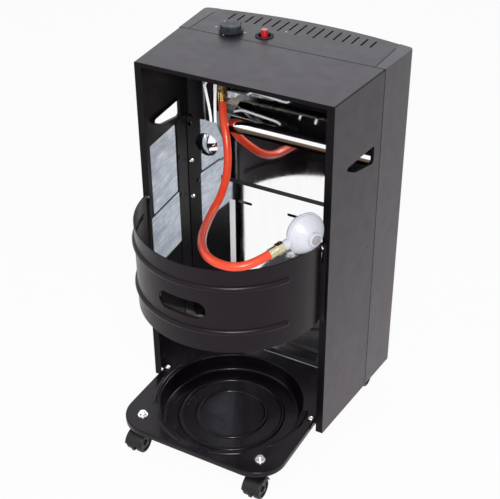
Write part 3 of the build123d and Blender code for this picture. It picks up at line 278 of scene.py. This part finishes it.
def screw_heads(name, black_above):
    """Plated screw heads; those above a height are dark."""
    m = Nodes(name)
    m.set(Metallic=1.0)
    high = m.maths("GREATER_THAN", m.axes()["Z"], black_above)
    bright = m.ramp(m.noise(110, 4), [(0.25, (0.78, 0.79, 0.80)), (0.75, (0.95, 0.95, 0.96))])
    black = m.ramp(m.noise(110, 4), [(0.25, (0.008, 0.007, 0.008)), (0.75, (0.016, 0.015, 0.016))])
    m.colour(m.mix(high, bright, black))
    m.roughness(m.ramp(m.noise(330, 6), [(0.3, 0.14), (0.7, 0.32)]))
    return m.material


def plated(name, low, high, rough_low, rough_high, scale, strength=0.1):
    """Bare or plated metal: cloudy tone, fine scuffs and slightly uneven sheet."""
    m = Nodes(name)
    m.set(Metallic=1.0)
    m.colour(m.ramp(m.noise(scale, 4), [(0.25, low), (0.75, high)]))
    m.roughness(m.ramp(m.noise(scale * 3, 6), [(0.3, rough_low), (0.7, rough_high)]))
    m.normal(m.bump(m.noise(scale * 0.5, 2), strength, 0.001))
    return m.material


def painted_reflection_band(m, metal, low, high):
    """The metal's tone, darkened to brown between two heights by a painted reflection."""
    stain = m.ramp(m.between(m.axes()["Z"], low, high),
                   [(0.02, UNTOUCHED), (0.12, (0.05, 0.035, 0.025)), (0.60, (0.10, 0.070, 0.05)),
                    (0.92, (0.17, 0.130, 0.095)), (1.0, UNTOUCHED)])
    return m.mix(1.0, metal, stain, "MULTIPLY")


def mirror_sheet(name, lean=0.0, reflection_heights=None):
    """Bright aluminised sheet: a soft mirror with a rolled grain, slight waves, a lean off upright and,
    where heights are given, a painted reflection band.
    """
    m = Nodes(name)
    m.set(Metallic=1.0)
    metal = m.ramp(m.noise((60, 60, 9), 5), [(0.2, (0.93, 0.935, 0.945)), (0.8, (0.985, 0.985, 0.985))])
    m.colour(painted_reflection_band(m, metal, *reflection_heights) if reflection_heights else metal)
    m.roughness(m.ramp(m.noise((160, 160, 22), 5), [(0.25, 0.03), (0.8, 0.09)]))
    leaning = m.bump(m.maths("MULTIPLY", m.axes()["Z"], -lean), 1.0, 1.0) if lean else None
    waves = m.bump(m.noise((9, 9, 6), 1), 0.12, 0.004, leaning)
    m.normal(m.bump(m.noise((700, 700, 60), 2), 0.03, 0.0003, waves))
    return m.material


def moulded(name, dark, light, rough_low, rough_high):
    """Moulded plastic with a fine spark-eroded grain."""
    m = Nodes(name)
    m.set(Specular_IOR_Level=0.32)
    m.colour(m.ramp(m.noise(55, 3), [(0.3, dark), (0.7, light)]))
    m.roughness(m.ramp(m.noise(160, 4), [(0.3, rough_low), (0.7, rough_high)]))
    m.normal(m.bump(m.noise(2600, 2), 0.12, 0.0002))
    return m.material


def hose_rubber(name):
    """Extruded hose: even orange with faint lengthwise streaks and dulled patches."""
    m = Nodes(name)
    m.colour(m.ramp(m.noise((90, 90, 22), 4), [(0.25, (0.78, 0.048, 0.012)), (0.75, (0.90, 0.072, 0.018))]))
    m.roughness(m.ramp(m.noise(70, 5), [(0.3, 0.28), (0.7, 0.42)]))
    m.normal(m.bump(m.noise((900, 900, 500), 2), 0.06, 0.0002))
    m.set(Coat_Weight=0.25, Coat_Roughness=0.2)
    return m.material


def perforated_ceramic(name):
    """Fired ceramic plaque with its close pattern of small flame holes."""
    m = Nodes(name)
    cells = m.cells(520)
    holes = m.ramp(cells, [(0.24, (0.16, 0.13, 0.10)), (0.36, (0.78, 0.71, 0.60))])
    stain = m.ramp(m.noise(24, 4), [(0.35, (0.62, 0.55, 0.46)), (0.7, UNTOUCHED)])
    m.colour(m.mix(0.6, holes, stain, "MULTIPLY"))
    m.roughness(m.ramp(m.noise(90, 3), [(0.3, 0.75), (0.7, 0.95)]))
    m.normal(m.bump(cells, 0.5, 0.0008))
    return m.material


def woven_sleeve(name):
    """Pale glass-fibre sleeve over a lead, with a faint glow that stands for the camera's flash."""
    m = Nodes(name)
    wave = m.add("ShaderNodeTexWave", wave_type="BANDS", bands_direction="DIAGONAL")
    m.link(m.scaled(900), wave.inputs["Vector"])
    wave.inputs["Scale"].default_value = 1.0
    m.colour(m.ramp(wave.outputs["Fac"], [(0.2, (0.86, 0.85, 0.83)), (0.7, (0.98, 0.98, 0.97))]))
    m.set(Emission_Color=(0.95, 0.96, 1.0, 1.0), Emission_Strength=0.42)
    m.roughness(m.ramp(m.noise(200, 3), [(0.3, 0.6), (0.7, 0.85)]))
    m.normal(m.bump(wave.outputs["Fac"], 0.4, 0.0003))
    return m.material


def clear_red(name):
    """Translucent red of the igniter button."""
    m = Nodes(name)
    m.colour(m.ramp(m.noise(130, 3), [(0.3, (0.62, 0.012, 0.02)), (0.7, (0.85, 0.03, 0.04))]))
    m.roughness(m.ramp(m.noise(220, 3), [(0.3, 0.06), (0.7, 0.14)]))
    m.set(Transmission_Weight=0.35, IOR=1.49, Coat_Weight=0.5, Coat_Roughness=0.05)
    m.normal(m.bump(m.noise(300, 2), 0.05, 0.0003))
    return m.material


def foil_plate(name):
    """Bare brushed foil plate, dulled by handling, with a faint glow that stands for the camera's flash."""
    m = Nodes(name)
    m.set(Metallic=0.25, Emission_Color=(0.80, 0.88, 1.0, 1.0), Emission_Strength=0.10)
    streaks = m.ramp(m.noise((24, 24, 190), 5, 0.6), [(0.3, (0.50, 0.55, 0.62)), (0.5, (0.68, 0.73, 0.80)),
                                                      (0.7, (0.95, 0.97, 1.0))])
    wear = m.ramp(m.noise(26, 4, 0.6), [(0.36, (0.62, 0.66, 0.72)), (0.64, UNTOUCHED)])
    m.colour(m.mix(1.0, streaks, wear, "MULTIPLY"))
    m.roughness(m.ramp(m.noise(45, 5), [(0.3, 0.34), (0.7, 0.55)]))
    m.normal(m.bump(m.noise((14, 14, 40), 4), 0.25, 0.0012))
    return m.material


def fluted_grip(name, axis):
    """Dark blue-grey knob plastic with fine upright flutes round its axis."""
    m = Nodes(name)
    m.colour(m.ramp(m.noise(90, 3), [(0.3, (0.013, 0.016, 0.022)), (0.7, (0.022, 0.026, 0.035))]))
    m.roughness(m.ramp(m.noise(160, 4), [(0.3, 0.34), (0.7, 0.46)]))
    moved = m.add("ShaderNodeMapping")
    moved.inputs["Location"].default_value = (-axis[0], -axis[1], 0)
    m.link(m.coords, moved.inputs["Vector"])
    x, y, _ = m.axes(moved.outputs["Vector"])
    turned = m.maths("MULTIPLY", m.maths("ARCTAN2", y, x), FLUTES)
    m.normal(m.bump(m.maths("SINE", turned), 0.5, 0.0005))
    return m.material


def grey_disc(name):
    """Dull sealed face inside the regulator's cap."""
    m = Nodes(name)
    m.colour(m.ramp(m.noise(400, 3), [(0.3, (0.30, 0.27, 0.28)), (0.7, (0.42, 0.38, 0.39))]))
    m.roughness(m.ramp(m.noise(300, 3), [(0.3, 0.45), (0.7, 0.65)]))
    m.normal(m.bump(m.noise(900, 2), 0.15, 0.0003))
    return m.material


def printed_white(name):
    """Pad-printed white mark, a little uneven."""
    m = Nodes(name)
    m.colour(m.ramp(m.noise(1500, 2), [(0.3, (0.72, 0.72, 0.74)), (0.7, (0.92, 0.92, 0.92))]))
    m.roughness(m.ramp(m.noise(900, 2), [(0.3, 0.4), (0.7, 0.6)]))
    return m.material


# one material for each slot of the record
MATERIALS = {
    "grey_enamel": enamel_with_painted_shade_and_light("grey_enamel", (0.0100, 0.0074, 0.0104), (0.0140, 0.0108, 0.0146), 0.38),
    "black_enamel": painted("black_enamel", (0.0028, 0.0020, 0.0032), (0.0048, 0.0036, 0.0054), 0.20, 0.28,
                            900, 0.08, coat=0.1, shine=0.2),
    "bright_steel": mirror_sheet("bright_steel"),
    "guard_wire": plated("guard_wire", (0.60, 0.61, 0.62), (0.76, 0.77, 0.78), 0.12, 0.28, 60),
    "plaque_ceramic": perforated_ceramic("plaque_ceramic"),
    "plain_steel": plated("plain_steel", (0.28, 0.29, 0.30), (0.46, 0.47, 0.48), 0.25, 0.45, 45),
    "valve_casting": plated("valve_casting", (0.34, 0.35, 0.36), (0.52, 0.53, 0.54), 0.35, 0.55, 80, 0.2),
    "brass": plated("brass", (0.66, 0.46, 0.17), (0.82, 0.62, 0.30), 0.14, 0.30, 90),
    "dark_plastic": moulded("dark_plastic", (0.005, 0.005, 0.006), (0.010, 0.010, 0.012), 0.34, 0.50),
    "red_plastic": clear_red("red_plastic"),
    "pale_plastic": moulded("pale_plastic", (0.55, 0.56, 0.61), (0.64, 0.65, 0.70), 0.26, 0.40),
    "lead_sleeve": woven_sleeve("lead_sleeve"),
    "orange_rubber": hose_rubber("orange_rubber"),
    "regulator_casting": painted("regulator_casting", (0.58, 0.59, 0.65), (0.66, 0.67, 0.73), 0.22, 0.36,
                                 900, 0.10),
    "zinc": plated("zinc", (0.74, 0.75, 0.76), (0.92, 0.93, 0.94), 0.14, 0.32, 110),
    "wheel_plastic": moulded("wheel_plastic", (0.004, 0.004, 0.005), (0.009, 0.009, 0.010), 0.32, 0.5),
}

# materials of single sub-parts and of the pieces that are added here
FOIL = foil_plate("foil_plate")
GRIP = fluted_grip("fluted_grip", KNOB_AXIS)
# painted light: a lighter, shinier copy of the cabinet's enamel stands for the brighter sheen on the front
# casing
FRONT_ENAMEL_PAINTED_SHEEN = enamel_with_painted_shade_and_light("front_enamel_painted_sheen", (0.0200, 0.0168, 0.0210), (0.0255, 0.0220, 0.0270), 0.5,
                              CASING_FACE_Y)
BELT_ENAMEL = painted("belt_enamel", (0.0048, 0.0030, 0.0040), (0.0075, 0.0050, 0.0063), 0.28, 0.36,
                      1200, 0.10, shine=0.22)
COVER_SHEET = mirror_sheet("cover_sheet", COVER_LEAN, PAINTED_REFLECTION_HEIGHTS)
SHIELD_HEADS = screw_heads("shield_heads", BLACK_HEADS_ABOVE)
PALE_BRASS = plated("pale_brass", (0.52, 0.47, 0.32), (0.78, 0.72, 0.52), 0.16, 0.32, 140)
SEAM_SHADE = moulded("seam_shade", (0.003, 0.003, 0.004), (0.006, 0.006, 0.007), 0.6, 0.8)
DARK_HEAD = moulded("dark_head", (0.012, 0.011, 0.013), (0.022, 0.021, 0.024), 0.30, 0.45)
CAP_GREY = grey_disc("cap_face")
WHITE = printed_white("printed_white")

OWN_LOOKS = {"control_knob": GRIP, "retaining_belt": BELT_ENAMEL, "front_casing": FRONT_ENAMEL_PAINTED_SHEEN,
             "burner_rear_cover": COVER_SHEET, "side_screws": DARK_HEAD, "shield_screws": SHIELD_HEADS,
             "regulator_nut": PALE_BRASS, "hose_ferrule": PALE_BRASS}
for corner in ("rear_left", "rear_right", "front_left", "front_right"):
    OWN_LOOKS[f"caster_axle_{corner}"] = DARK_HEAD

for entry in frame["record"]["subparts"]:
    owner = nodes[entry["node"]]
    owner.data.materials.clear()
    owner.data.materials.append(MATERIALS[entry["material_slot"]])
for node_name, look in OWN_LOOKS.items():
    nodes[node_name].data.materials[0] = look

# ------------------------------------------------------------------ shapes
DISC_SIDES = 32
RING_SIDES = 48
DOME_SIDES = 40
DOME_RINGS = 8
CORNER_STEPS = 5
ALONG_X = Vector((1, 0, 0))
ALONG_Y = Vector((0, 1, 0))
ALONG_Z = Vector((0, 0, 1))


def circle(bm, centre, side, other, radius, count):
    """Ring of vertices round a centre, in the plane of two unit vectors."""
    turns = [2 * pi * k / count for k in range(count)]
    return [bm.verts.new(centre + (side * cos(turn) + other * sin(turn)) * radius) for turn in turns]


def skin(bm, low, high):
    """Faces between two closed rings of vertices."""
    for k in range(len(low)):
        n = (k + 1) % len(low)
        bm.faces.new((low[k], low[n], high[n], high[k]))


def slab(bm, low, high):
    """Flat piece between two outlines."""
    bm.faces.new(low)
    bm.faces.new(high)
    skin(bm, low, high)


def disc_mesh(centre, normal, radius, thick, bevel):
    """Thin round piece with a bevelled rim, standing on its centre point."""
    axis = Vector(normal).normalized()
    side = axis.orthogonal().normalized()
    other = axis.cross(side)

    def build(bm):
        rings = [circle(bm, Vector(centre) + axis * height, side, other, ring_radius, DISC_SIDES)
                 for ring_radius, height in ((radius, 0), (radius, thick - bevel), (radius - bevel, thick))]
        for low, high in zip(rings, rings[1:]):
            skin(bm, low, high)
        bm.faces.new(rings[-1])
        bm.faces.new(list(reversed(rings[0])))
    return build


def ring_mesh(centre, inner, outer, thick):
    """Flat ring with its hole upright."""
    def build(bm):
        rings = [circle(bm, Vector(centre) + ALONG_Z * height, ALONG_X, ALONG_Y, radius, RING_SIDES)
                 for radius, height in ((inner, 0), (outer, 0), (outer, thick), (inner, thick))]
        for low, high in zip(rings, rings[1:] + rings[:1]):
            skin(bm, low, high)
    return build


def dome_mesh(centre, radius, rise):
    """Shallow dome that bulges toward +y."""
    def build(bm):
        rings = []
        for k in range(1, DOME_RINGS + 1):
            share = k / DOME_RINGS
            middle = Vector(centre) + ALONG_Y * rise * (1 - share ** 2)
            rings.append(circle(bm, middle, ALONG_X, ALONG_Z, radius * share, DOME_SIDES))
        apex = bm.verts.new(Vector(centre) + ALONG_Y * rise)
        for k in range(DOME_SIDES):
            bm.faces.new((apex, rings[0][k], rings[0][(k + 1) % DOME_SIDES]))
        for low, high in zip(rings, rings[1:]):
            skin(bm, low, high)
    return build


def box_mesh(low, high):
    """Box between two opposite corners."""
    def build(bm):
        corners = [bm.verts.new((x, y, z)) for x in (low[0], high[0]) for y in (low[1], high[1])
                   for z in (low[2], high[2])]
        for face in ((0, 1, 3, 2), (4, 6, 7, 5), (0, 4, 5, 1), (2, 3, 7, 6), (0, 2, 6, 4), (1, 5, 7, 3)):
            bm.faces.new([corners[k] for k in face])
    return build


def rounded_outline(y_range, z_range, corner):
    """Corner points of a rectangle with rounded corners, in order."""
    points = []
    for quarter, (y, z) in enumerate(((y_range[1], z_range[1]), (y_range[0], z_range[1]),
                                      (y_range[0], z_range[0]), (y_range[1], z_range[0]))):
        middle_y = y - corner if quarter in (0, 3) else y + corner
        middle_z = z - corner if quarter in (0, 1) else z + corner
        for k in range(CORNER_STEPS + 1):
            angle = pi / 2 * (quarter + k / CORNER_STEPS)
            points.append((middle_y + corner * cos(angle), middle_z + corner * sin(angle)))
    return points


def add_piece(name, data, material):
    """Puts a mesh or a curve into the scene, to ride on the cabinet."""
    data.materials.append(material)
    piece = bpy.data.objects.new(name, data)
    bpy.context.collection.objects.link(piece)
    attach(piece, "cabinet")
    return piece


def add_mesh(name, build, material, smooth=True):
    mesh = bpy.data.meshes.new(name)
    bm = bmesh.new()
    build(bm)
    bmesh.ops.recalc_face_normals(bm, faces=bm.faces)
    bm.to_mesh(mesh)
    bm.free()
    for polygon in mesh.polygons:
        polygon.use_smooth = smooth
    return add_piece(name, mesh, material)


def add_box(name, low, high, material):
    return add_mesh(name, box_mesh(low, high), material, smooth=False)


def add_tube(name, points, radius, material, roundness, steps):
    """Round cord or sleeve along given points."""
    data = bpy.data.curves.new(name, "CURVE")
    data.dimensions = "3D"
    data.bevel_depth = radius
    data.bevel_resolution = roundness
    data.resolution_u = steps
    data.use_fill_caps = True
    spline = data.splines.new("NURBS")
    spline.points.add(len(points) - 1)
    for point, place in zip(spline.points, points):
        point.co = (*place, 1.0)
    spline.order_u = 3
    spline.use_endpoint_u = True
    return add_piece(name, data, material)


# ------------------------------------------------------------------ regulator cap and hose
# the cap's taller rim stands this far out from the regulator's middle, and its sealed face lies in the rim
CAP_RIM_OUT = 0.0277
CAP_RIM_RADIUS = 0.0116
CAP_RIM_HEIGHT = 0.0032
CAP_RIM_BEVEL = 0.0008
CAP_FACE_OUT = CAP_RIM_OUT + CAP_RIM_HEIGHT - 0.0001
CAP_FACE_RADIUS = 0.0090
CAP_FACE_THICK = 0.0004
CAP_FACE_BEVEL = 0.0001
cap_rim = add_mesh("regulator_cap_rim",
                   disc_mesh(REGULATOR + REGULATOR_AXIS * CAP_RIM_OUT, REGULATOR_AXIS, CAP_RIM_RADIUS,
                             CAP_RIM_HEIGHT, CAP_RIM_BEVEL), MATERIALS["regulator_casting"])
cap_face = add_mesh("regulator_cap_face",
                    disc_mesh(REGULATOR + REGULATOR_AXIS * CAP_FACE_OUT, REGULATOR_AXIS, CAP_FACE_RADIUS,
                              CAP_FACE_THICK, CAP_FACE_BEVEL), CAP_GREY)

# gas hose: the route's points, the same as the solid's
HOSE_TOP = (KNOB_AXIS[0], SEAM_Y + 0.014, 0.612)
HOSE_POINTS = [HOSE_TOP, (KNOB_AXIS[0], SEAM_Y + 0.014, 0.577), (0.093, -0.084, 0.537),
               (0.074, -0.054, 0.499), (0.064, -0.015, 0.467), (0.061, 0.036, 0.449), (0.027, 0.122, 0.464),
               (-0.018, 0.193, 0.4885), (-0.048, 0.2145, 0.4905), (-0.083, 0.217, 0.4905),
               tuple(REGULATOR + TAIL * 0.109), tuple(REGULATOR + TAIL * 0.073)]
hose = add_tube("hose", HOSE_POINTS, HOSE_RADIUS, MATERIALS["orange_rubber"], roundness=8, steps=16)
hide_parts("gas_hose")

# ------------------------------------------------------------------ foil plates on the left inner wall
# y and z range of each
FOIL_PLATES = {"foil_upper": ((-0.0670, 0.0280), (0.409, 0.552)),
               "foil_lower": ((-0.0735, 0.0370), (0.291, 0.404))}
FOIL_CORNER = 0.003
FOIL_GAP = 0.0001
FOIL_THICK = 0.0004


def foil_mesh(y_range, z_range):
    """Thin plate that follows the tapering wall."""
    def build(bm):
        outline = rounded_outline(y_range, z_range, FOIL_CORNER)
        slab(bm, *([bm.verts.new((inner_wall(y) - lift, y, z)) for y, z in outline]
                   for lift in (FOIL_GAP, FOIL_GAP + FOIL_THICK)))
    return build


for foil_name, (y_range, z_range) in FOIL_PLATES.items():
    add_mesh(foil_name, foil_mesh(y_range, z_range), FOIL, smooth=False)

# ------------------------------------------------------------------ loose woven sleeves behind the ear
SLEEVE_Y = -0.1185
# radius, and x and z of the listed points
SLEEVES = {"thermocouple_sleeve": (0.0027, ((0.138, 0.505), (0.138, 0.560), (0.1375, 0.600),
                                            (0.135, 0.632))),
           "igniter_sleeve": (0.0025, ((0.147, 0.520), (0.147, 0.548), (0.150, 0.575), (0.1595, 0.620)))}
for sleeve_name, (radius, places) in SLEEVES.items():
    points = [(x, SLEEVE_Y, z) for x, z in places]
    add_tube(sleeve_name, points, radius, MATERIALS["lead_sleeve"], roundness=6, steps=12)

# ------------------------------------------------------------------ cover, seams and collar
# painted shade: dark strip under the rear cover's bottom, in the gap to the heat shield
COVER_SHADE_X = (-0.1850, 0.1160)
COVER_SHADE_Z = (COVER_BOTTOM - 0.0090, COVER_BOTTOM - 0.0001)
COVER_SHADE_HALF = 0.0003
add_box("cover_shade_strip", (COVER_SHADE_X[0], COVER_FACE_Y - COVER_SHADE_HALF, COVER_SHADE_Z[0]),
        (COVER_SHADE_X[1], COVER_FACE_Y + COVER_SHADE_HALF, COVER_SHADE_Z[1]), DARK_HEAD)

# dark seams of the cabinet: round the control panel and between hood and casing
SEAM_WIDTH = 0.0020
SEAM_PROUD = 0.00012
# the side seams end just over the cabinet's lower edge
SIDE_SEAM_BOTTOM = 0.052
seam_front = SEAM_Y - SEAM_WIDTH / 2
seam_rear = SEAM_Y + SEAM_WIDTH / 2
seam_half = inner_wall(SEAM_Y) + WALL_SHEET
TOP_SEAMS = {"seam_top": ((-seam_half, seam_front), (seam_half, seam_rear)),
             "seam_panel_left": ((PANEL_EDGE, PANEL_FRONT_Y), (PANEL_EDGE + SEAM_WIDTH, SEAM_Y)),
             "seam_panel_right": ((-PANEL_EDGE - SEAM_WIDTH, PANEL_FRONT_Y), (-PANEL_EDGE, SEAM_Y))}
for seam_name, (low, high) in TOP_SEAMS.items():
    add_box(seam_name, (*low, TOP), (*high, TOP + SEAM_PROUD), SEAM_SHADE)
for side, seam_name in ((1, "seam_side_left"), (-1, "seam_side_right")):
    low_x, high_x = sorted((side * seam_half, side * (seam_half + SEAM_PROUD)))
    add_box(seam_name, (low_x, seam_front, SIDE_SEAM_BOTTOM), (high_x, seam_rear, TOP), SEAM_SHADE)

# dark collar round the igniter's cup
COLLAR_INNER = 0.0132
COLLAR_OUTER = 0.0168
COLLAR_HEIGHT = 0.0013
add_mesh("igniter_collar", ring_mesh((*IGNITER, TOP), COLLAR_INNER, COLLAR_OUTER, COLLAR_HEIGHT), SEAM_SHADE)

# ------------------------------------------------------------------ foot of the walls and of the heat shield
# inturned strips from the side walls to the base plate's edge
FLANGE_INNER_X = 0.1675
FLANGE_REAR_Y = 0.057
FLANGE_FRONT_Y = -0.104
FLANGE_BOTTOM = 0.0655
FLANGE_SHEET = 0.0008


def flange_mesh(side):
    """Inturned strip along one side wall."""
    outline = ((FLANGE_INNER_X, FLANGE_REAR_Y), (inner_wall(FLANGE_REAR_Y), FLANGE_REAR_Y),
               (inner_wall(FLANGE_FRONT_Y), FLANGE_FRONT_Y), (FLANGE_INNER_X, FLANGE_FRONT_Y))

    def build(bm):
        slab(bm, *([bm.verts.new((side * x, y, z)) for x, y in outline]
                   for z in (FLANGE_BOTTOM, FLANGE_BOTTOM + FLANGE_SHEET)))
    return build


for side, flange_name in ((1, "wall_flange_left"), (-1, "wall_flange_right")):
    add_mesh(flange_name, flange_mesh(side), MATERIALS["black_enamel"], smooth=False)

# painted reflection: dark top of the heat shield's foot on the base plate, and a painted highlight along its
# edge
FOOT_HALF = 0.1800
FOOT_FRONT_Y = -0.0983
FOOT_REAR_Y = -0.0869
FOOT_BOTTOM = 0.0702
FOOT_TOP = 0.0717
FOOT_HIGHLIGHT_Y = (-0.0868, -0.0866)
FOOT_HIGHLIGHT_TOP = 0.0714
add_box("shield_foot_dark_reflection", (-FOOT_HALF, FOOT_FRONT_Y, FOOT_BOTTOM), (FOOT_HALF, FOOT_REAR_Y, FOOT_TOP),
        SEAM_SHADE)
add_box("shield_foot_highlight", (-FOOT_HALF, FOOT_HIGHLIGHT_Y[0], FOOT_BOTTOM),
        (FOOT_HALF, FOOT_HIGHLIGHT_Y[1], FOOT_HIGHLIGHT_TOP), FOIL)

# painted highlight: white strip down the heat shield's left part
SHIELD_HIGHLIGHT_X = (0.0946, 0.1069)
SHIELD_HIGHLIGHT_Z = (0.2300, 0.3924)
SHIELD_HIGHLIGHT_THICK = 0.0003
add_box("shield_highlight", (SHIELD_HIGHLIGHT_X[0], SHIELD_FACE_Y, SHIELD_HIGHLIGHT_Z[0]),
        (SHIELD_HIGHLIGHT_X[1], SHIELD_FACE_Y + SHIELD_HIGHLIGHT_THICK, SHIELD_HIGHLIGHT_Z[1]), WHITE)

# bright pressed dish of the burner's side seen through the hole in the ear
DISH_CENTRE = (0.155, -0.1130, 0.499)
DISH_RADIUS = 0.0245
DISH_RISE = 0.0085
add_mesh("ear_dish", dome_mesh(DISH_CENTRE, DISH_RADIUS, DISH_RISE), MATERIALS["bright_steel"])

# printed marks of the knob's positions on the control panel, with one beyond the igniter
MARK_RADIUS = 0.0017
MARK_THICK = 0.00012
MARK_BEVEL = 0.00005
MARKS = ((0.142, -0.1675), (0.142, -0.1375), (0.082, -0.1365), (0.111, -0.1095), (0.019, -0.174))
for number, (x, y) in enumerate(MARKS):
    add_mesh(f"mark_{number}", disc_mesh((x, y, TOP), ALONG_Z, MARK_RADIUS, MARK_THICK, MARK_BEVEL), WHITE)

# ------------------------------------------------------------------ stage and light
FLOOR_HALF = 6.0
FLOOR_TONE = (0.86, 0.86, 0.86, 1)
FLOOR_ROUGHNESS = 0.9
# share of plain white in what the camera sees of the floor; the rest keeps the shadow
FLOOR_WHITE = 0.94
WORLD_TONE = (0.92, 0.95, 1.0, 1)
WORLD_STRENGTH = 0.24


def seen_share(tree, share):
    """This share for camera, glossy and transmission rays, and nothing for all others."""
    path = tree.nodes.new("ShaderNodeLightPath")
    total = path.outputs["Is Camera Ray"]
    for ray in ("Is Glossy Ray", "Is Transmission Ray"):
        plus = tree.nodes.new("ShaderNodeMath")
        plus.operation = "ADD"
        plus.use_clamp = True
        tree.links.new(total, plus.inputs[0])
        tree.links.new(path.outputs[ray], plus.inputs[1])
        total = plus.outputs[0]
    times = tree.nodes.new("ShaderNodeMath")
    times.operation = "MULTIPLY"
    tree.links.new(total, times.inputs[0])
    times.inputs[1].default_value = share
    return times.outputs[0]


def whiten(tree, plain, white_kind, share, surface):
    """Mixes plain white light into a shader, for the rays that are seen."""
    white = tree.nodes.new(white_kind)
    white.inputs["Color"].default_value = (1, 1, 1, 1)
    white.inputs["Strength"].default_value = 1.0
    mix = tree.nodes.new("ShaderNodeMixShader")
    tree.links.new(seen_share(tree, share), mix.inputs[0])
    tree.links.new(plain.outputs[0], mix.inputs[1])
    tree.links.new(white.outputs[0], mix.inputs[2])
    tree.links.new(mix.outputs[0], surface)


floor_material = bpy.data.materials.new("floor")
floor_material.use_nodes = True
floor_tree = floor_material.node_tree
floor_shader = floor_tree.nodes["Principled BSDF"]
floor_shader.inputs["Base Color"].default_value = FLOOR_TONE
floor_shader.inputs["Roughness"].default_value = FLOOR_ROUGHNESS
whiten(floor_tree, floor_shader, "ShaderNodeEmission", FLOOR_WHITE,
       floor_tree.nodes["Material Output"].inputs["Surface"])
floor_data = bpy.data.meshes.new("floor")
floor_data.from_pydata([(-FLOOR_HALF, -FLOOR_HALF, 0), (FLOOR_HALF, -FLOOR_HALF, 0),
                        (FLOOR_HALF, FLOOR_HALF, 0), (-FLOOR_HALF, FLOOR_HALF, 0)], [], [(0, 1, 2, 3)])
floor = bpy.data.objects.new("floor", floor_data)
floor_data.materials.append(floor_material)
bpy.context.collection.objects.link(floor)

world = bpy.data.worlds.new("world")
world.use_nodes = True
bpy.context.scene.world = world
background = world.node_tree.nodes["Background"]
background.inputs["Color"].default_value = WORLD_TONE
background.inputs["Strength"].default_value = WORLD_STRENGTH
whiten(world.node_tree, background, "ShaderNodeBackground", 1.0,
       world.node_tree.nodes["World Output"].inputs["Surface"])


def area_light(name, place, target, size, watts, colour=(1, 1, 1)):
    """Square lamp at a place, turned to its target."""
    data = bpy.data.lights.new(name, "AREA")
    data.shape = "SQUARE"
    data.size = size
    data.energy = watts
    data.color = colour
    lamp = bpy.data.objects.new(name, data)
    lamp.location = place
    lamp.rotation_euler = (Vector(target) - Vector(place)).to_track_quat("-Z", "Y").to_euler()
    bpy.context.collection.objects.link(lamp)


MIDDLE = (0, 0.05, 0.4)
INSIDE = (0.05, -0.05, 0.45)
area_light("key", (-1.1, 1.9, 2.2), MIDDLE, size=0.9, watts=44)
area_light("flash", (-0.75, 1.40, 1.50), INSIDE, size=0.2, watts=11)
area_light("fill", (1.8, 1.5, 1.2), MIDDLE, size=1.6, watts=6, colour=(0.95, 0.97, 1.0))
area_light("overhead", (0.5, -1.7, 2.0), MIDDLE, size=2.2, watts=10, colour=(0.86, 0.93, 1.0))

bpy.context.scene.view_settings.view_transform = "Standard"
